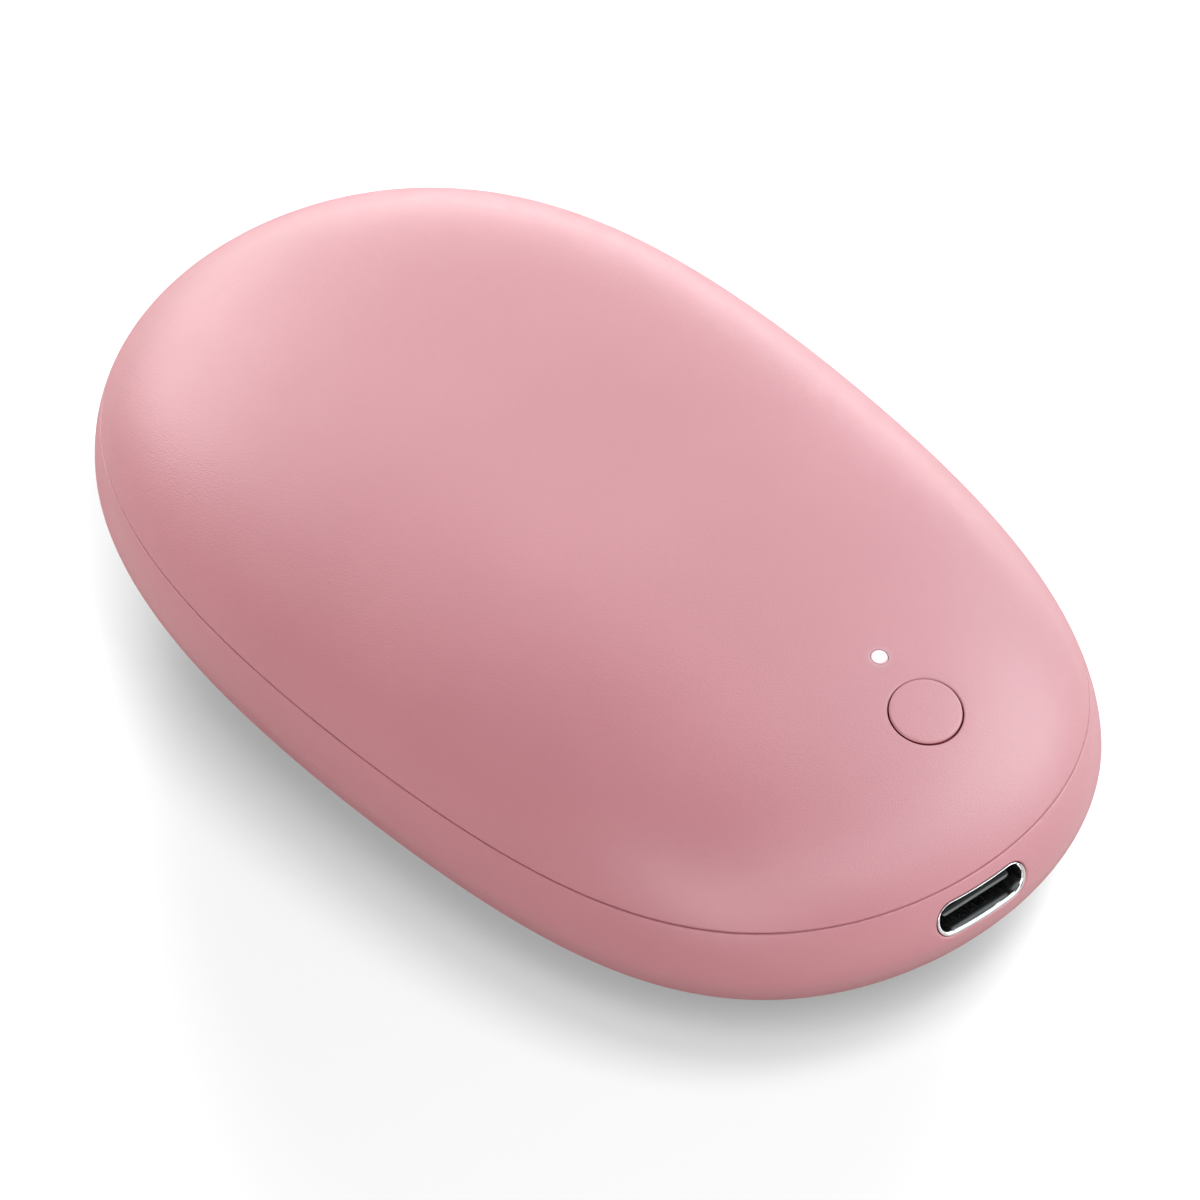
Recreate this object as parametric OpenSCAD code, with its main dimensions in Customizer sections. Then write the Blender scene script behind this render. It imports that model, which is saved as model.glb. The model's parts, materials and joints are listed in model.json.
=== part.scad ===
// Rechargeable hand warmer: a pebble-shaped case with two heated faces, a power button, a status
// light and a USB-C charging socket. Millimetres. The origin is the centre of the flat underside,
// +X runs to the socket end and +Z is up.

/* [Case] */
// Length of the case
case_length = 97.2; // [95:0.2:104]
// Width of the case across its middle
case_width = 56.2; // [55:0.2:62]
// Height of the widest section above the resting surface
edge_height = 11.1; // [10.9:0.1:12.5]
// Height of the dome above the widest section
dome_height = 16.9; // [16.5:0.1:19]
// Height of the seam above the widest section
seam_rise = 4.15; // [3.95:0.05:4.4]
// How much of the round underside is cut off flat
foot_cut = 0.35; // [0.2:0.05:0.6]
// How far the widest station lies forward of the middle
belly_shift = 3.7; // [2:0.1:5]
// Narrowing of the socket end, as a share of the width
end_taper_share = 0.055; // [0.02:0.005:0.08]
// Extra fullness of the outline towards both ends, as a share of the width
side_fullness_share = 0.282; // [0.25:0.002:0.31]
// Flatness of the crown: a higher power gives a flatter top
dome_power = 3.2; // [3:0.1:5]
// Roundness of the shoulder between the crown and the seam
shoulder_power = 2; // [1.9:0.05:2.3]
// Flatness of the underside across the middle
under_power = 3.5; // [3:0.1:4.5]
// How much flatter the underside is towards both ends
end_power_gain = 1.2; // [0.8:0.1:1.8]
// Roundness of the lower edge
keel_power = 1.7; // [1.6:0.05:2]
// Wall thickness of both shells
wall = 1.8; // [1.6:0.05:1.9]

/* [Shell joint] */
// Depth of the top shell's tongue below the seam
tongue_drop = 0.8; // [0.6:0.1:0.8]
// Thickness of the tongue
tongue_thickness = 0.9; // [0.7:0.05:1]
// Clearance between the tongue and the bottom shell
shell_fit = 0.12; // [0.06:0.02:0.2]
// Width of each snap hook
hook_width = 5; // [3:0.5:5]
// Thickness of a hook's arm
hook_thickness = 1.2; // [0.8:0.1:1.4]
// Depth of the hooks below the seam
hook_drop = 3.8; // [3.2:0.1:4]
// How far a hook's nub reaches out from its arm
nub_reach = 1; // [0.8:0.05:1.1]
// Height of a hook's nub
nub_height = 1; // [0.6:0.1:1.2]

/* [Power button] */
// Distance of the button's centre from the tip of the case
button_inset = 10.6; // [10.2:0.1:11.2]
// Distance of the button and the light from the case's centre line
button_y = 3.4; // [0:0.1:3.6]
// Width of the button across the case
button_diameter = 6.1; // [5.4:0.1:6.2]
// Length of the button along the case as a share of its width, because it lies square to the slope
button_slant_share = 0.82; // [0.82:0.02:1]
// Height of the button above the dome around it
button_rise = 0.12; // [0:0.02:0.2]
// Gap between the button and its hole
button_gap = 0.1; // [0.05:0.01:0.1]
// Travel of the button
button_travel = 0.3; // [0.15:0.05:0.3]
// Thickness of the ring that guides the button under the dome
guide_wall = 1.4; // [1:0.1:1.5]
// Depth of the guide ring's end face below the top of the dome
guide_drop = 9.8; // [9.6:0.1:10]
// How far the button's flange reaches under the guide ring
flange_overlap = 0.8; // [0.5:0.05:0.9]
// Thickness of the flange
flange_thickness = 0.8; // [0.6:0.05:1.2]
// Diameter of the button's stem
stem_diameter = 2.6; // [2:0.1:3]

/* [Status light] */
// Distance from the light to the button, centre to centre
light_spacing = 5.4; // [5.4:0.05:5.8]
// Diameter of the light's visible end
light_diameter = 1.35; // [1:0.05:1.5]
// Diameter of the light pipe under the dome
pipe_diameter = 2.2; // [1.8:0.1:2.3]
// Thickness of the boss that holds the light pipe
pipe_boss_wall = 0.9; // [0.6:0.05:1]
// Gap between the light pipe and the lamp under it
pipe_gap = 0.15; // [0.1:0.05:0.4]

/* [Socket] */
// Height of the socket's centre above the widest section
socket_rise = 1.4; // [1.2:0.05:1.45]
// Outer width of the socket shell
socket_width = 8.94; // [8.9:0.01:9]
// Outer height of the socket shell
socket_height = 3.16; // [3.1:0.01:3.2]
// Sheet thickness of the socket shell
socket_sheet = 0.3; // [0.2:0.05:0.35]
// Length of the socket shell
socket_length = 7.3; // [7:0.1:7.4]
// How far the socket's mouth lies inside the tip of the case
socket_setback = 0.7; // [0.6:0.05:0.9]
// Gap between the socket shell and its slot in the case
socket_fit = 0.08; // [0.05:0.01:0.1]
// Width of the socket's tongue
blade_width = 6.69; // [6.5:0.01:6.8]
// Thickness of the socket's tongue
blade_thickness = 0.7; // [0.6:0.05:0.75]
// Free length of the socket's tongue
blade_length = 4.45; // [4:0.05:4.6]
// Depth of the block that carries the tongue
blade_block = 2; // [1.5:0.1:2.2]
// Number of contacts on each face of the tongue
contact_count = 12; // [8:1:12]
// Distance between neighbouring contacts
contact_pitch = 0.5; // [0.45:0.01:0.52]

/* [Main board] */
// Thickness of the circuit board
board_thickness = 1; // [0.8:0.05:1.2]
// Distance of the board's back edge from the tip of the case
board_reach = 27.3; // [27:0.1:28]
// Gap between the board's edge and the case wall
board_gap = 1.2; // [1:0.1:1.6]
// Gap between the board and the inner frame
frame_gap = 0.6; // [0.4:0.1:0.8]
// Diameter of the posts that carry the board and the inner frame
post_diameter = 4.6; // [4:0.1:4.8]

/* [Switch] */
// Side of the square switch housing
switch_side = 4; // [3.8:0.1:4.4]
// Height of the switch housing
switch_height = 1.6; // [1.5:0.05:1.8]
// Thickness of the switch's metal cover
switch_cover_sheet = 0.2; // [0.15:0.01:0.25]
// Diameter of the switch plunger
plunger_diameter = 2; // [1.8:0.1:2.2]
// How far the plunger stands above the cover
plunger_rise = 0.8; // [0.6:0.05:1]
// Height of the snap dome when it is pressed flat
snap_flat = 0.1; // [0.05:0.01:0.15]

/* [Battery] */
// Distance of the cells' back ends from the back tip of the case
cell_rear_gap = 20.1; // [19.6:0.1:26]
// Distance of the cells' sides from the widest station of the case
cell_side_gap = 12.6; // [12.4:0.1:15]
// Rounding of the cells' upright edges
cell_corner = 2; // [1:0.1:3]
// Thickness of the pad between the cells
bond_thickness = 0.5; // [0.3:0.1:0.8]
// Thickness of the protection board
guard_thickness = 0.8; // [0.6:0.1:1]
// Gap between the cells' ends and the protection board, bridged by the tabs
tab_length = 0.9; // [0.7:0.1:1.1]

/* [Heaters] */
// Height of the ribs on the bottom shell's floor
floor_rib = 1.7; // [1.6:0.05:2]
// Height of the ribs under the top of the dome
dome_rib = 1.4; // [1.3:0.05:1.6]
// Thickness of the ribs
rib_thickness = 1.2; // [0.8:0.1:1.6]
// Distance between neighbouring ribs
rib_pitch = 9; // [7:0.5:10]
// Thickness of each heat spreader plate
plate_thickness = 0.8; // [0.6:0.05:0.9]
// Gap between a plate's edge and the case wall
plate_gap = 2.2; // [2.1:0.1:3]
// Thickness of each heater film
film_thickness = 0.2; // [0.1:0.05:0.3]
// Thickness of the resistance track on a film
track_thickness = 0.1; // [0.05:0.01:0.15]
// Width of the resistance track
track_width = 1.2; // [0.8:0.1:1.4]
// Distance between neighbouring runs of the track
track_pitch = 2.6; // [2.4:0.1:3]
// Thickness of the foam pad over the bottom heater
foam_thickness = 1.2; // [1:0.1:1.3]
// Thickness of the foam pad under the top heater, which fills the room over the cells
top_foam_thickness = 2.4; // [2:0.1:3]
// How far the top foam pad stays inside the cells' outline
top_foam_inset = 5; // [4.6:0.1:8]

/* [Inner frame] */
// Thickness of the inner frame's floor
frame_floor = 1; // [0.8:0.1:1.2]
// Thickness of the inner frame's walls
frame_wall = 1.2; // [1:0.1:1.4]
// Height of the inner frame's walls above its floor
frame_rise = 6; // [4:0.5:6]
// Gap between the cells and the inner frame
cell_fit = 0.3; // [0.2:0.05:0.4]
// Distance of the ears' screws from the frame's ends
ear_inset = 10.8; // [10:0.1:12]
// How far the ears' screws lie outside the frame's walls
ear_reach = 3.2; // [3:0.1:3.4]
// Thickness of the ears
ear_thickness = 1.6; // [1.2:0.1:2]

/* [Screws and wires] */
// Diameter of the screws
screw_diameter = 1.6; // [1.4:0.1:1.8]
// Diameter of the screw heads
screw_head = 3.2; // [2.6:0.1:3.4]
// Height of the screw heads
screw_head_height = 1; // [0.7:0.1:1.2]
// Length of the screws under the head
screw_length = 5; // [4:0.1:5.2]
// Clearance round the screws
screw_fit = 0.06; // [0.04:0.01:0.1]
// Diameter of the insulated wires
wire_diameter = 1; // [0.7:0.05:1.1]
// Diameter of the temperature sensor's wires
sensor_wire = 0.6; // [0.4:0.05:0.7]

/* [Hidden] */

// Smoothness of the shells and of the round parts
facets = 72;
dome_rings = 12;
belly_rings = 10;
edge_rings = 3;
$fn = 48;
// One overrun serves every cut
over = wall;

// Heights of the case
case_height = edge_height + dome_height;
seam_z = edge_height + seam_rise;
belly_depth = edge_height + foot_cut;
floor_z = wall;
tongue_z = seam_z - tongue_drop;
lip = wall - tongue_thickness;

// Heights of the stack, from the floor up and from the dome down
bottom_plate_z = floor_z + floor_rib;
bottom_film_z = bottom_plate_z + plate_thickness;
bottom_track_z = bottom_film_z + film_thickness;
bottom_foam_z = bottom_track_z + track_thickness;
frame_z = bottom_foam_z + foam_thickness;
lower_cell_z = frame_z + frame_floor;
top_plate_top_z = case_height - wall - dome_rib;
top_plate_z = top_plate_top_z - plate_thickness;
top_film_z = top_plate_z - film_thickness;
top_track_z = top_film_z - track_thickness;
cells_top_z = top_track_z - top_foam_thickness;

// The two cells share the height that is left between the frame's floor and the top foam
cell_height = (cells_top_z - lower_cell_z - bond_thickness) / 2;
bond_z = lower_cell_z + cell_height;
upper_cell_z = bond_z + bond_thickness;

// Places along the case, from the board at the socket's end to the cells behind it
board_back_x = case_length / 2 - board_reach;
frame_front_x = board_back_x - frame_gap;
guard_x = frame_front_x - frame_wall - cell_fit - guard_thickness;
cell_front_x = guard_x - tab_length;
cell_rear_x = cell_rear_gap - case_length / 2;
cell_length = cell_front_x - cell_rear_x;
cell_width = case_width - 2 * cell_side_gap;
cell_back = -(cell_front_x + cell_rear_x) / 2;
frame_rear_x = cell_rear_x - cell_fit - frame_wall;
frame_half_width = cell_width / 2 + cell_fit + frame_wall;

// The socket and the board under it
socket_z = edge_height + socket_rise;
socket_front_x = case_length / 2 - socket_setback;
socket_back_x = socket_front_x - socket_length;
board_top_z = socket_z - socket_height / 2;
board_z = board_top_z - board_thickness;
leg_length = 0.9;
leg_starts = [0.9, 3.6];
leg_fit = 0.1;
contact_length = 3.6;
contact_width = 0.25;
contact_height = 0.08;
contact_start = 0.3;

// The button, its guide and the light
button_radii = [button_diameter / 2 * button_slant_share, button_diameter / 2];
bore_radii = [for (r = button_radii) r + button_gap];
bore_radius = bore_radii[1];
guide_radius = bore_radius + guide_wall;
guide_z = case_height - guide_drop;
button_x = case_length / 2 - button_inset;
flange_radius = bore_radius + flange_overlap;
light_x = button_x - light_spacing;
light_radius = light_diameter / 2;
light_fit = 0.03;
lamp_size = [1.6, 1.1, 0.6];
lamp_lens = 1;

// The switch under the button's stem
switch_top_z = board_top_z + switch_height;
switch_cover_z = switch_top_z + switch_cover_sheet;
plunger_top_z = switch_cover_z + plunger_rise;
plunger_foot = 0.5;
plunger_lip = 0.16;
plunger_foot_radius = plunger_diameter / 2 + plunger_lip;
plunger_fit = 0.05;
snap_sheet = 0.08;
snap_radius = 1.5;
snap_fit = 0.1;
snap_floor = 0.4;
snap_z = board_top_z + snap_floor;
snap_height = button_travel + snap_flat;
plunger_z = snap_z + snap_height;

// Screw places: four ears on the inner frame and two holes at the board's back
ear_z = frame_z + frame_floor + ear_thickness / 2;
ear_y = frame_half_width + ear_reach;
ear_places = [for (x = [frame_rear_x + ear_inset, frame_front_x - ear_inset]) for (s = [-1, 1])
    [x, s * ear_y]];
board_screw_inset = 4.2;
board_screw_share = 0.612;
board_screw_y = board_screw_share * case_width / 2;
board_screw_places = [for (s = [-1, 1]) [board_back_x + board_screw_inset, s * board_screw_y]];
front_post_back = 7.2;
front_post_share = 0.306;
front_post_y = front_post_share * case_width / 2;
front_post_places = [for (s = [-1, 1]) [case_length / 2 - front_post_back, s * front_post_y]];
screw_hole = screw_diameter / 2 + screw_fit;
slot_length_share = 0.6;
slot_width_share = 0.14;

// Directions of the snap hooks round the outline
hook_angles = [72, 118, 180, 242, 288];
hook_gap = 0.25;
pocket_fit = 0.15;

// Small parts on the board. A place is a share of the board's reach, counted from its back
// edge, and a share of half the case's width
function board_place(shares) = [shares[0] * board_reach, shares[1] * case_width / 2];
chip_charge_shares = [0.455, -0.22];
chip_charge = [4, 4, 0.9];
chip_brain_shares = [0.47, 0.4];
chip_brain = [5, 4, 1.5];
chip_leg = [0.4, 0.9, 0.2];
chip_leg_pitch = 1.27;
chip_leg_count = 4;
chip_leg_root = 0.1;
coil_shares = [0.212, 0.3];
coil_side = 6;
coil_height = 3;
coil_bump = 0.25;
driver_size = [3, 3, 0.8];
driver_shares = [[0.385, -0.45], [0.53, -0.43]];
cap_size = [1.6, 0.9, 0.8];
cap_shares = [[0.088, 0.078], [0.088, 0.142], [0.308, -0.05], [0.308, 0.014], [0.608, -0.256],
    [0.608, -0.2], [0.33, 0.49], [0.32, 0.555]];
resistor_size = [1, 0.5, 0.35];
resistor_shares = [[0.183, 0.05], [0.183, 0.093], [0.183, 0.135], [0.447, -0.093], [0.505, -0.093],
    [0.652, 0.3], [0.652, 0.342], [0.652, 0.384], [0.11, -0.44], [0.183, -0.44]];

// The battery's plug and its socket on the board
plug_shares = [0.227, -0.285];
plug_at = board_place(plug_shares);
plug_socket = [5, 6, 4.2];
plug_socket_wall = 0.6;
plug_fit = 0.1;
plug_body = 5.4;
plug_insert = 3.4;
plug_wire_pitch = 2;

// The protection board and the cells' tabs
guard_width = 18;
guard_rise = 9;
tab_width = 3.5;
tab_sheet = 0.2;
tab_spread = 10;

// Wires: the bend reach of a wire's curve, and its sides and steps
wire_sides = 8;
wire_steps = 10;
wire_bend = 1.5;
lead_spread = 2.2;
bottom_lead_inset = 2.6;
bottom_lead_y = -7;
top_lead_back = 1.1;
top_lead_y = 7.6;
top_pad_inset = 1.8;
top_pad_y = 12.4;
sensor_y = -9.2;
sensor_length = 3;
sensor_diameter = 1.6;
sensor_pad_y = -13.6;
sensor_wire_spread = 0.36;

// Outline of the case seen from above, drawn in by an inset
function plan_x(t, inset) =
    (case_length / 2 - inset) * cos(t) + belly_shift * pow(sin(t), 2);
function plan_y(t, inset) =
    (case_width / 2 - inset) * sin(t)
    * (1 - end_taper_share * cos(t) + side_fullness_share * pow(cos(t), 2));

// How much the outline shrinks at a height, above and below the widest section
function dome_scale(z, inset) =
    pow(1 - pow((z - edge_height) / (dome_height - inset), shoulder_power), 1 / dome_power);
function belly_scale(z, inset, t) =
    pow(1 - pow((edge_height - z) / (belly_depth - inset), keel_power),
        1 / (under_power + end_power_gain * pow(cos(t), 2)));
function level_scale(z, inset, t) =
    z >= edge_height ? dome_scale(z, inset) : belly_scale(z, inset, t);

// Height of the dome where its section has shrunk to a share
function crown_z(share, inset) =
    edge_height + (dome_height - inset) * pow(1 - pow(share, dome_power), 1 / shoulder_power);

// A ring of points on the case's surface at a height, drawn in by an inset
function ring(z, inset) =
    [for (i = [0 : facets - 1]) let (t = 360 * i / facets, s = level_scale(z, inset, t))
        [plan_x(t, inset) * s, plan_y(t, inset) * s, z]];
function crown_rings(inset) =
    let (s_seam = dome_scale(seam_z, inset))
    [for (i = [dome_rings - 1 : -1 : 1]) ring(crown_z(s_seam * sin(90 * i / dome_rings), inset), inset)];
function belly_heights(low, inset) =
    let (u_low = asin((edge_height - low) / (belly_depth - inset)))
    [for (i = [belly_rings : -1 : 1]) edge_height - (belly_depth - inset) * sin(u_low * i / belly_rings)];
function edge_heights(high) =
    [for (i = [0 : edge_rings]) edge_height + (high - edge_height) * i / edge_rings];

// A closed solid through a stack of rings, from the lowest to the highest
module skin(rings) {
    m = len(rings[0]);
    n = len(rings);
    points = [for (r = rings) for (p = r) p];
    sides = [for (i = [0 : n - 2]) for (j = [0 : m - 1])
        let (a = i * m + j, b = i * m + (j + 1) % m, c = b + m, d = a + m)
        each [[a, d, c], [a, c, b]]];
    caps = [[for (j = [0 : m - 1]) j], [for (j = [m - 1 : -1 : 0]) (n - 1) * m + j]];
    polyhedron(points, concat(sides, caps), convexity = 6);
}

// The outline of the case at a height, drawn in by an inset and then by a gap
module level_outline(z, inset, gap) {
    polygon([for (i = [0 : facets - 1])
        let (t = 360 * i / facets, s = level_scale(z, inset, t))
        [plan_x(t, inset) * s - gap * cos(t), plan_y(t, inset) * s - gap * sin(t)]]);
}

// A rectangle with round corners, centred
module round_rect(size, corner) {
    square([size[0] - 2 * corner, size[1]], center = true);
    square([size[0], size[1] - 2 * corner], center = true);
    for (sx = [-1, 1]) {
        for (sy = [-1, 1]) {
            translate([sx * (size[0] / 2 - corner), sy * (size[1] / 2 - corner)])
                circle(corner);
        }
    }
}

// A slot-shaped bar along +X, centred on the socket's axis
module socket_bar(x, length, shrink) {
    half = socket_height / 2 - shrink;
    translate([x, 0, socket_z])
        rotate([90, 0, 90])
        linear_extrude(length) {
            square([socket_width - socket_height, 2 * half], center = true);
            for (s = [-1, 1]) {
                translate([s * (socket_width - socket_height) / 2, 0])
                    circle(half);
            }
        }
}

// A box on the board, placed from the middle of the board's back edge
module board_box(at, size, lift = 0) {
    translate([board_back_x + at[0] - size[0] / 2, at[1] - size[1] / 2, board_top_z + lift])
        cube(size);
}

// A cylinder between two heights
module post(at, radius, low, high) {
    translate([at[0], at[1], low])
        cylinder(h = high - low, r = radius);
}

// An upright post with an oval section, given its radius along the case and the one across it
module oval_post(at, radii, low, high) {
    translate([at[0], at[1], low])
        scale([radii[0] / radii[1], 1, 1])
            cylinder(h = high - low, r = radii[1]);
}

// A wire that leaves its start and its end along given directions, on one smooth curve
function bezier(p, u) =
    pow(1 - u, 3) * p[0] + 3 * u * pow(1 - u, 2) * p[1] + 3 * pow(u, 2) * (1 - u) * p[2]
    + pow(u, 3) * p[3];
function bezier_way(p, u) =
    pow(1 - u, 2) * (p[1] - p[0]) + 2 * u * (1 - u) * (p[2] - p[1]) + pow(u, 2) * (p[3] - p[2]);
function unit(v) = v / norm(v);
module wire(start, start_way, finish, finish_way, diameter, side = [0, 1, 0]) {
    p = [start, start + start_way, finish + finish_way, finish];
    skin([for (i = [0 : wire_steps])
        let (u = i / wire_steps, at = bezier(p, u), way = unit(bezier_way(p, u)),
            a = unit(cross(side, way)), b = cross(way, a))
        [for (j = [0 : wire_sides - 1])
            let (g = 360 * j / wire_sides)
            at + diameter / 2 * (cos(g) * a + sin(g) * b)]]);
}

// A screw that stands in a seat at a height, head up
module screw(at, seat_z) {
    post(at, screw_diameter / 2, seat_z - screw_length, seat_z);
    difference() {
        post(at, screw_head / 2, seat_z, seat_z + screw_head_height);
        for (turn = [0, 90]) {
            translate([at[0], at[1], seat_z + screw_head_height])
                rotate(turn)
                cube([screw_head * slot_length_share, screw_head * slot_width_share, screw_head_height],
                    center = true);
        }
    }
}

// Ribs between two heights, along the case
module ribs(low, high) {
    for (i = [-1 : 1]) {
        translate([cell_rear_x, i * rib_pitch - rib_thickness / 2, low])
            cube([cell_length, rib_thickness, high - low]);
    }
}

// Stands a piece on the outline: +X looks outwards, from the inner wall just under the tongue
module on_outline(t) {
    s = dome_scale(tongue_z, wall);
    here = [plan_x(t, wall) * s, plan_y(t, wall) * s];
    ahead = [plan_x(t + 1, wall) * s, plan_y(t + 1, wall) * s];
    way = ahead - here;
    translate(here)
        rotate(atan2(way[1], way[0]) - 90)
        children();
}

// Outer solids of the two shells
module dome_solid() {
    skin(concat(
        [ring(tongue_z, lip), ring(seam_z, lip), ring(seam_z, 0)],
        crown_rings(0)));
}
module belly_solid() {
    skin([for (z = concat([0], belly_heights(0, 0), edge_heights(seam_z))) ring(z, 0)]);
}

// The hooks hang from the top shell: an arm against the wall, and a nub with a ramp under it
module hook(t) {
    tip = seam_z - hook_drop;
    root = seam_z + hook_drop / 2;
    on_outline(t)
        translate([-hook_gap, hook_width / 2, 0])
        rotate([90, 0, 0])
        linear_extrude(hook_width)
        polygon([
            [0, root],
            [-hook_thickness, root],
            [-hook_thickness, tip],
            [0, tip],
            [nub_reach, tip + nub_height / 2],
            [nub_reach, tip + nub_height],
            [0, tip + nub_height]]);
}
module hook_pocket(t) {
    on_outline(t)
        translate([-hook_gap, -hook_width / 2 - pocket_fit, seam_z - hook_drop - pocket_fit])
        cube([nub_reach + pocket_fit, hook_width + 2 * pocket_fit, nub_height + 2 * pocket_fit]);
}

module top_shell() {
    color("#DFA0A8")
    difference() {
        union() {
            difference() {
                dome_solid();
                difference() {
                    skin(concat([ring(tongue_z - over, wall), ring(seam_z, wall)], crown_rings(wall)));
                    ribs(top_plate_top_z, case_height);
                    post([button_x, button_y], guide_radius, guide_z, case_height);
                    post([light_x, button_y], light_radius + pipe_boss_wall, guide_z, case_height);
                }
            }
            for (t = hook_angles) {
                hook(t);
            }
        }
        oval_post([button_x, button_y], bore_radii, guide_z - over, case_height);
        post([light_x, button_y], light_radius + light_fit, guide_z - over, case_height);
    }
}

module bottom_shell() {
    step_z = tongue_z - shell_fit;
    color("#D98F99")
    difference() {
        belly_solid();
        difference() {
            skin(concat(
                [for (z = concat([floor_z], belly_heights(floor_z, wall), edge_heights(step_z)))
                    ring(z, wall)],
                [ring(step_z, lip - shell_fit), ring(seam_z, lip - shell_fit),
                    ring(seam_z + over, lip - shell_fit)]));
            ribs(0, bottom_plate_z);
            for (at = ear_places) {
                post(at, post_diameter / 2, 0, ear_z);
            }
            for (at = concat(board_screw_places, front_post_places)) {
                post(at, post_diameter / 2, 0, board_z);
            }
        }
        for (t = hook_angles) {
            hook_pocket(t);
        }
        for (at = ear_places) {
            post(at, screw_hole, ear_z + ear_thickness - screw_length - screw_fit, ear_z + over);
        }
        for (at = board_screw_places) {
            post(at, screw_hole, board_top_z - screw_length - screw_fit, board_z + over);
        }
        socket_bar(socket_back_x, socket_length + over, -socket_fit);
    }
}

// The cap follows the dome, the flange stops it from below and the stem reaches the switch
module power_button() {
    color("#DFA0A8")
    union() {
        intersection() {
            oval_post([button_x, button_y], button_radii, guide_z - flange_thickness, case_height);
            translate([0, 0, button_rise])
                dome_solid();
        }
        post([button_x, button_y], flange_radius, guide_z - flange_thickness, guide_z);
        post([button_x, button_y], stem_diameter / 2, plunger_top_z, guide_z);
    }
}

module light_pipe() {
    color("white")
    union() {
        intersection() {
            post([light_x, button_y], light_radius, guide_z - pipe_gap, case_height);
            dome_solid();
        }
        post([light_x, button_y], pipe_diameter / 2, board_top_z + lamp_size[2] + pipe_gap, guide_z);
    }
}

module usb_socket_shell() {
    color("silver")
    union() {
        difference() {
            socket_bar(socket_back_x, socket_length, 0);
            socket_bar(socket_back_x + socket_sheet, socket_length, socket_sheet);
        }
        for (start = leg_starts) {
            for (sy = [-1, 1]) {
                translate([socket_back_x + start,
                        sy * (socket_width - socket_sheet) / 2 - socket_sheet / 2, board_z])
                    cube([leg_length, socket_sheet, board_thickness + socket_height / 2]);
            }
        }
    }
}

module usb_socket_tongue() {
    block_x = socket_back_x + socket_sheet;
    color("#2B2B2D")
    union() {
        socket_bar(block_x, blade_block, socket_sheet + socket_fit);
        translate([block_x, -blade_width / 2, socket_z - blade_thickness / 2])
            cube([blade_block + blade_length, blade_width, blade_thickness]);
    }
}

module usb_contacts() {
    first_x = socket_back_x + socket_sheet + blade_block + contact_start;
    color("gold")
    for (i = [0 : contact_count - 1]) {
        for (face = [0, 1]) {
            translate([first_x, (i - (contact_count - 1) / 2) * contact_pitch - contact_width / 2,
                    socket_z - blade_thickness / 2 - contact_height
                        + face * (blade_thickness + contact_height)])
                cube([contact_length, contact_width, contact_height]);
        }
    }
}

module main_board() {
    leg_slot = [leg_length + 2 * leg_fit, socket_sheet + 2 * leg_fit];
    color("#1F5B3A")
    translate([0, 0, board_z])
        linear_extrude(board_thickness)
        difference() {
            intersection() {
                level_outline(board_z, wall, board_gap);
                translate([board_back_x, -case_width / 2])
                    square([case_length / 2, case_width]);
            }
            for (at = board_screw_places) {
                translate(at)
                    circle(screw_hole);
            }
            for (start = leg_starts) {
                for (sy = [-1, 1]) {
                    translate([socket_back_x + start - leg_fit,
                            sy * (socket_width - socket_sheet) / 2 - leg_slot[1] / 2])
                        square(leg_slot);
                }
            }
        }
}

module status_led() {
    at = [light_x - board_back_x, button_y];
    color("#FFF6D8")
    union() {
        board_box(at, [lamp_size[0], lamp_size[1], lamp_size[2] / 2]);
        post([light_x, button_y], lamp_lens / 2, board_top_z, board_top_z + lamp_size[2]);
    }
}

module switch_housing() {
    color("#26262A")
    difference() {
        board_box([button_x - board_back_x, button_y], [switch_side, switch_side, switch_height]);
        post([button_x, button_y], snap_radius + snap_fit, snap_z, switch_top_z + over);
    }
}

module switch_cover() {
    color("silver")
    difference() {
        board_box([button_x - board_back_x, button_y], [switch_side, switch_side, switch_cover_sheet],
            switch_height);
        post([button_x, button_y], plunger_diameter / 2 + plunger_fit, switch_top_z - over,
            switch_cover_z + over);
    }
}

module switch_plunger() {
    color("#EFE6DA")
    union() {
        post([button_x, button_y], plunger_foot_radius, plunger_z, plunger_z + plunger_foot);
        post([button_x, button_y], plunger_diameter / 2, plunger_z, plunger_top_z);
    }
}

// A thin round spring dome that lies on the floor of the housing
module switch_snap_dome() {
    bow = (pow(snap_radius, 2) + pow(snap_height, 2)) / (2 * snap_height);
    color("silver")
    translate([button_x, button_y, snap_z])
        rotate_extrude()
        intersection() {
            translate([0, snap_height - bow])
                difference() {
                    circle(bow);
                    circle(bow - snap_sheet);
                }
            square([snap_radius, snap_height]);
        }
}

module charge_controller() {
    color("#202022")
    board_box(board_place(chip_charge_shares), chip_charge);
}

// A flat chip with a row of legs along two of its sides, each rooted in the chip's body
module microcontroller() {
    at = board_place(chip_brain_shares);
    leg = chip_leg + [0, chip_leg_root, 0];
    color("#202022")
    board_box(at, chip_brain, chip_leg[2] / 2);
    color("silver")
    for (i = [0 : chip_leg_count - 1]) {
        along = (i - (chip_leg_count - 1) / 2) * chip_leg_pitch;
        for (side = [-1, 1]) {
            board_box(at + [along, side * (chip_brain[1] + chip_leg[1] - chip_leg_root) / 2], leg);
        }
    }
}

module power_inductor() {
    at = board_place(coil_shares);
    color("#3A3A3E")
    translate([board_back_x + at[0], at[1], board_top_z]) {
        linear_extrude(coil_height)
            round_rect([coil_side, coil_side], coil_side / 6);
        cylinder(h = coil_height + coil_bump, r = coil_side / 3);
    }
}

module heater_transistors() {
    color("#202022")
    for (shares = driver_shares) {
        board_box(board_place(shares), driver_size);
    }
}

module board_capacitors() {
    color("#B49A78")
    for (shares = cap_shares) {
        board_box(board_place(shares), cap_size);
    }
}

module board_resistors() {
    color("#1B1B1D")
    for (shares = resistor_shares) {
        board_box(board_place(shares), resistor_size);
    }
}

module board_screws() {
    color("silver")
    for (at = board_screw_places) {
        screw(at, board_top_z);
    }
}

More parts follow.
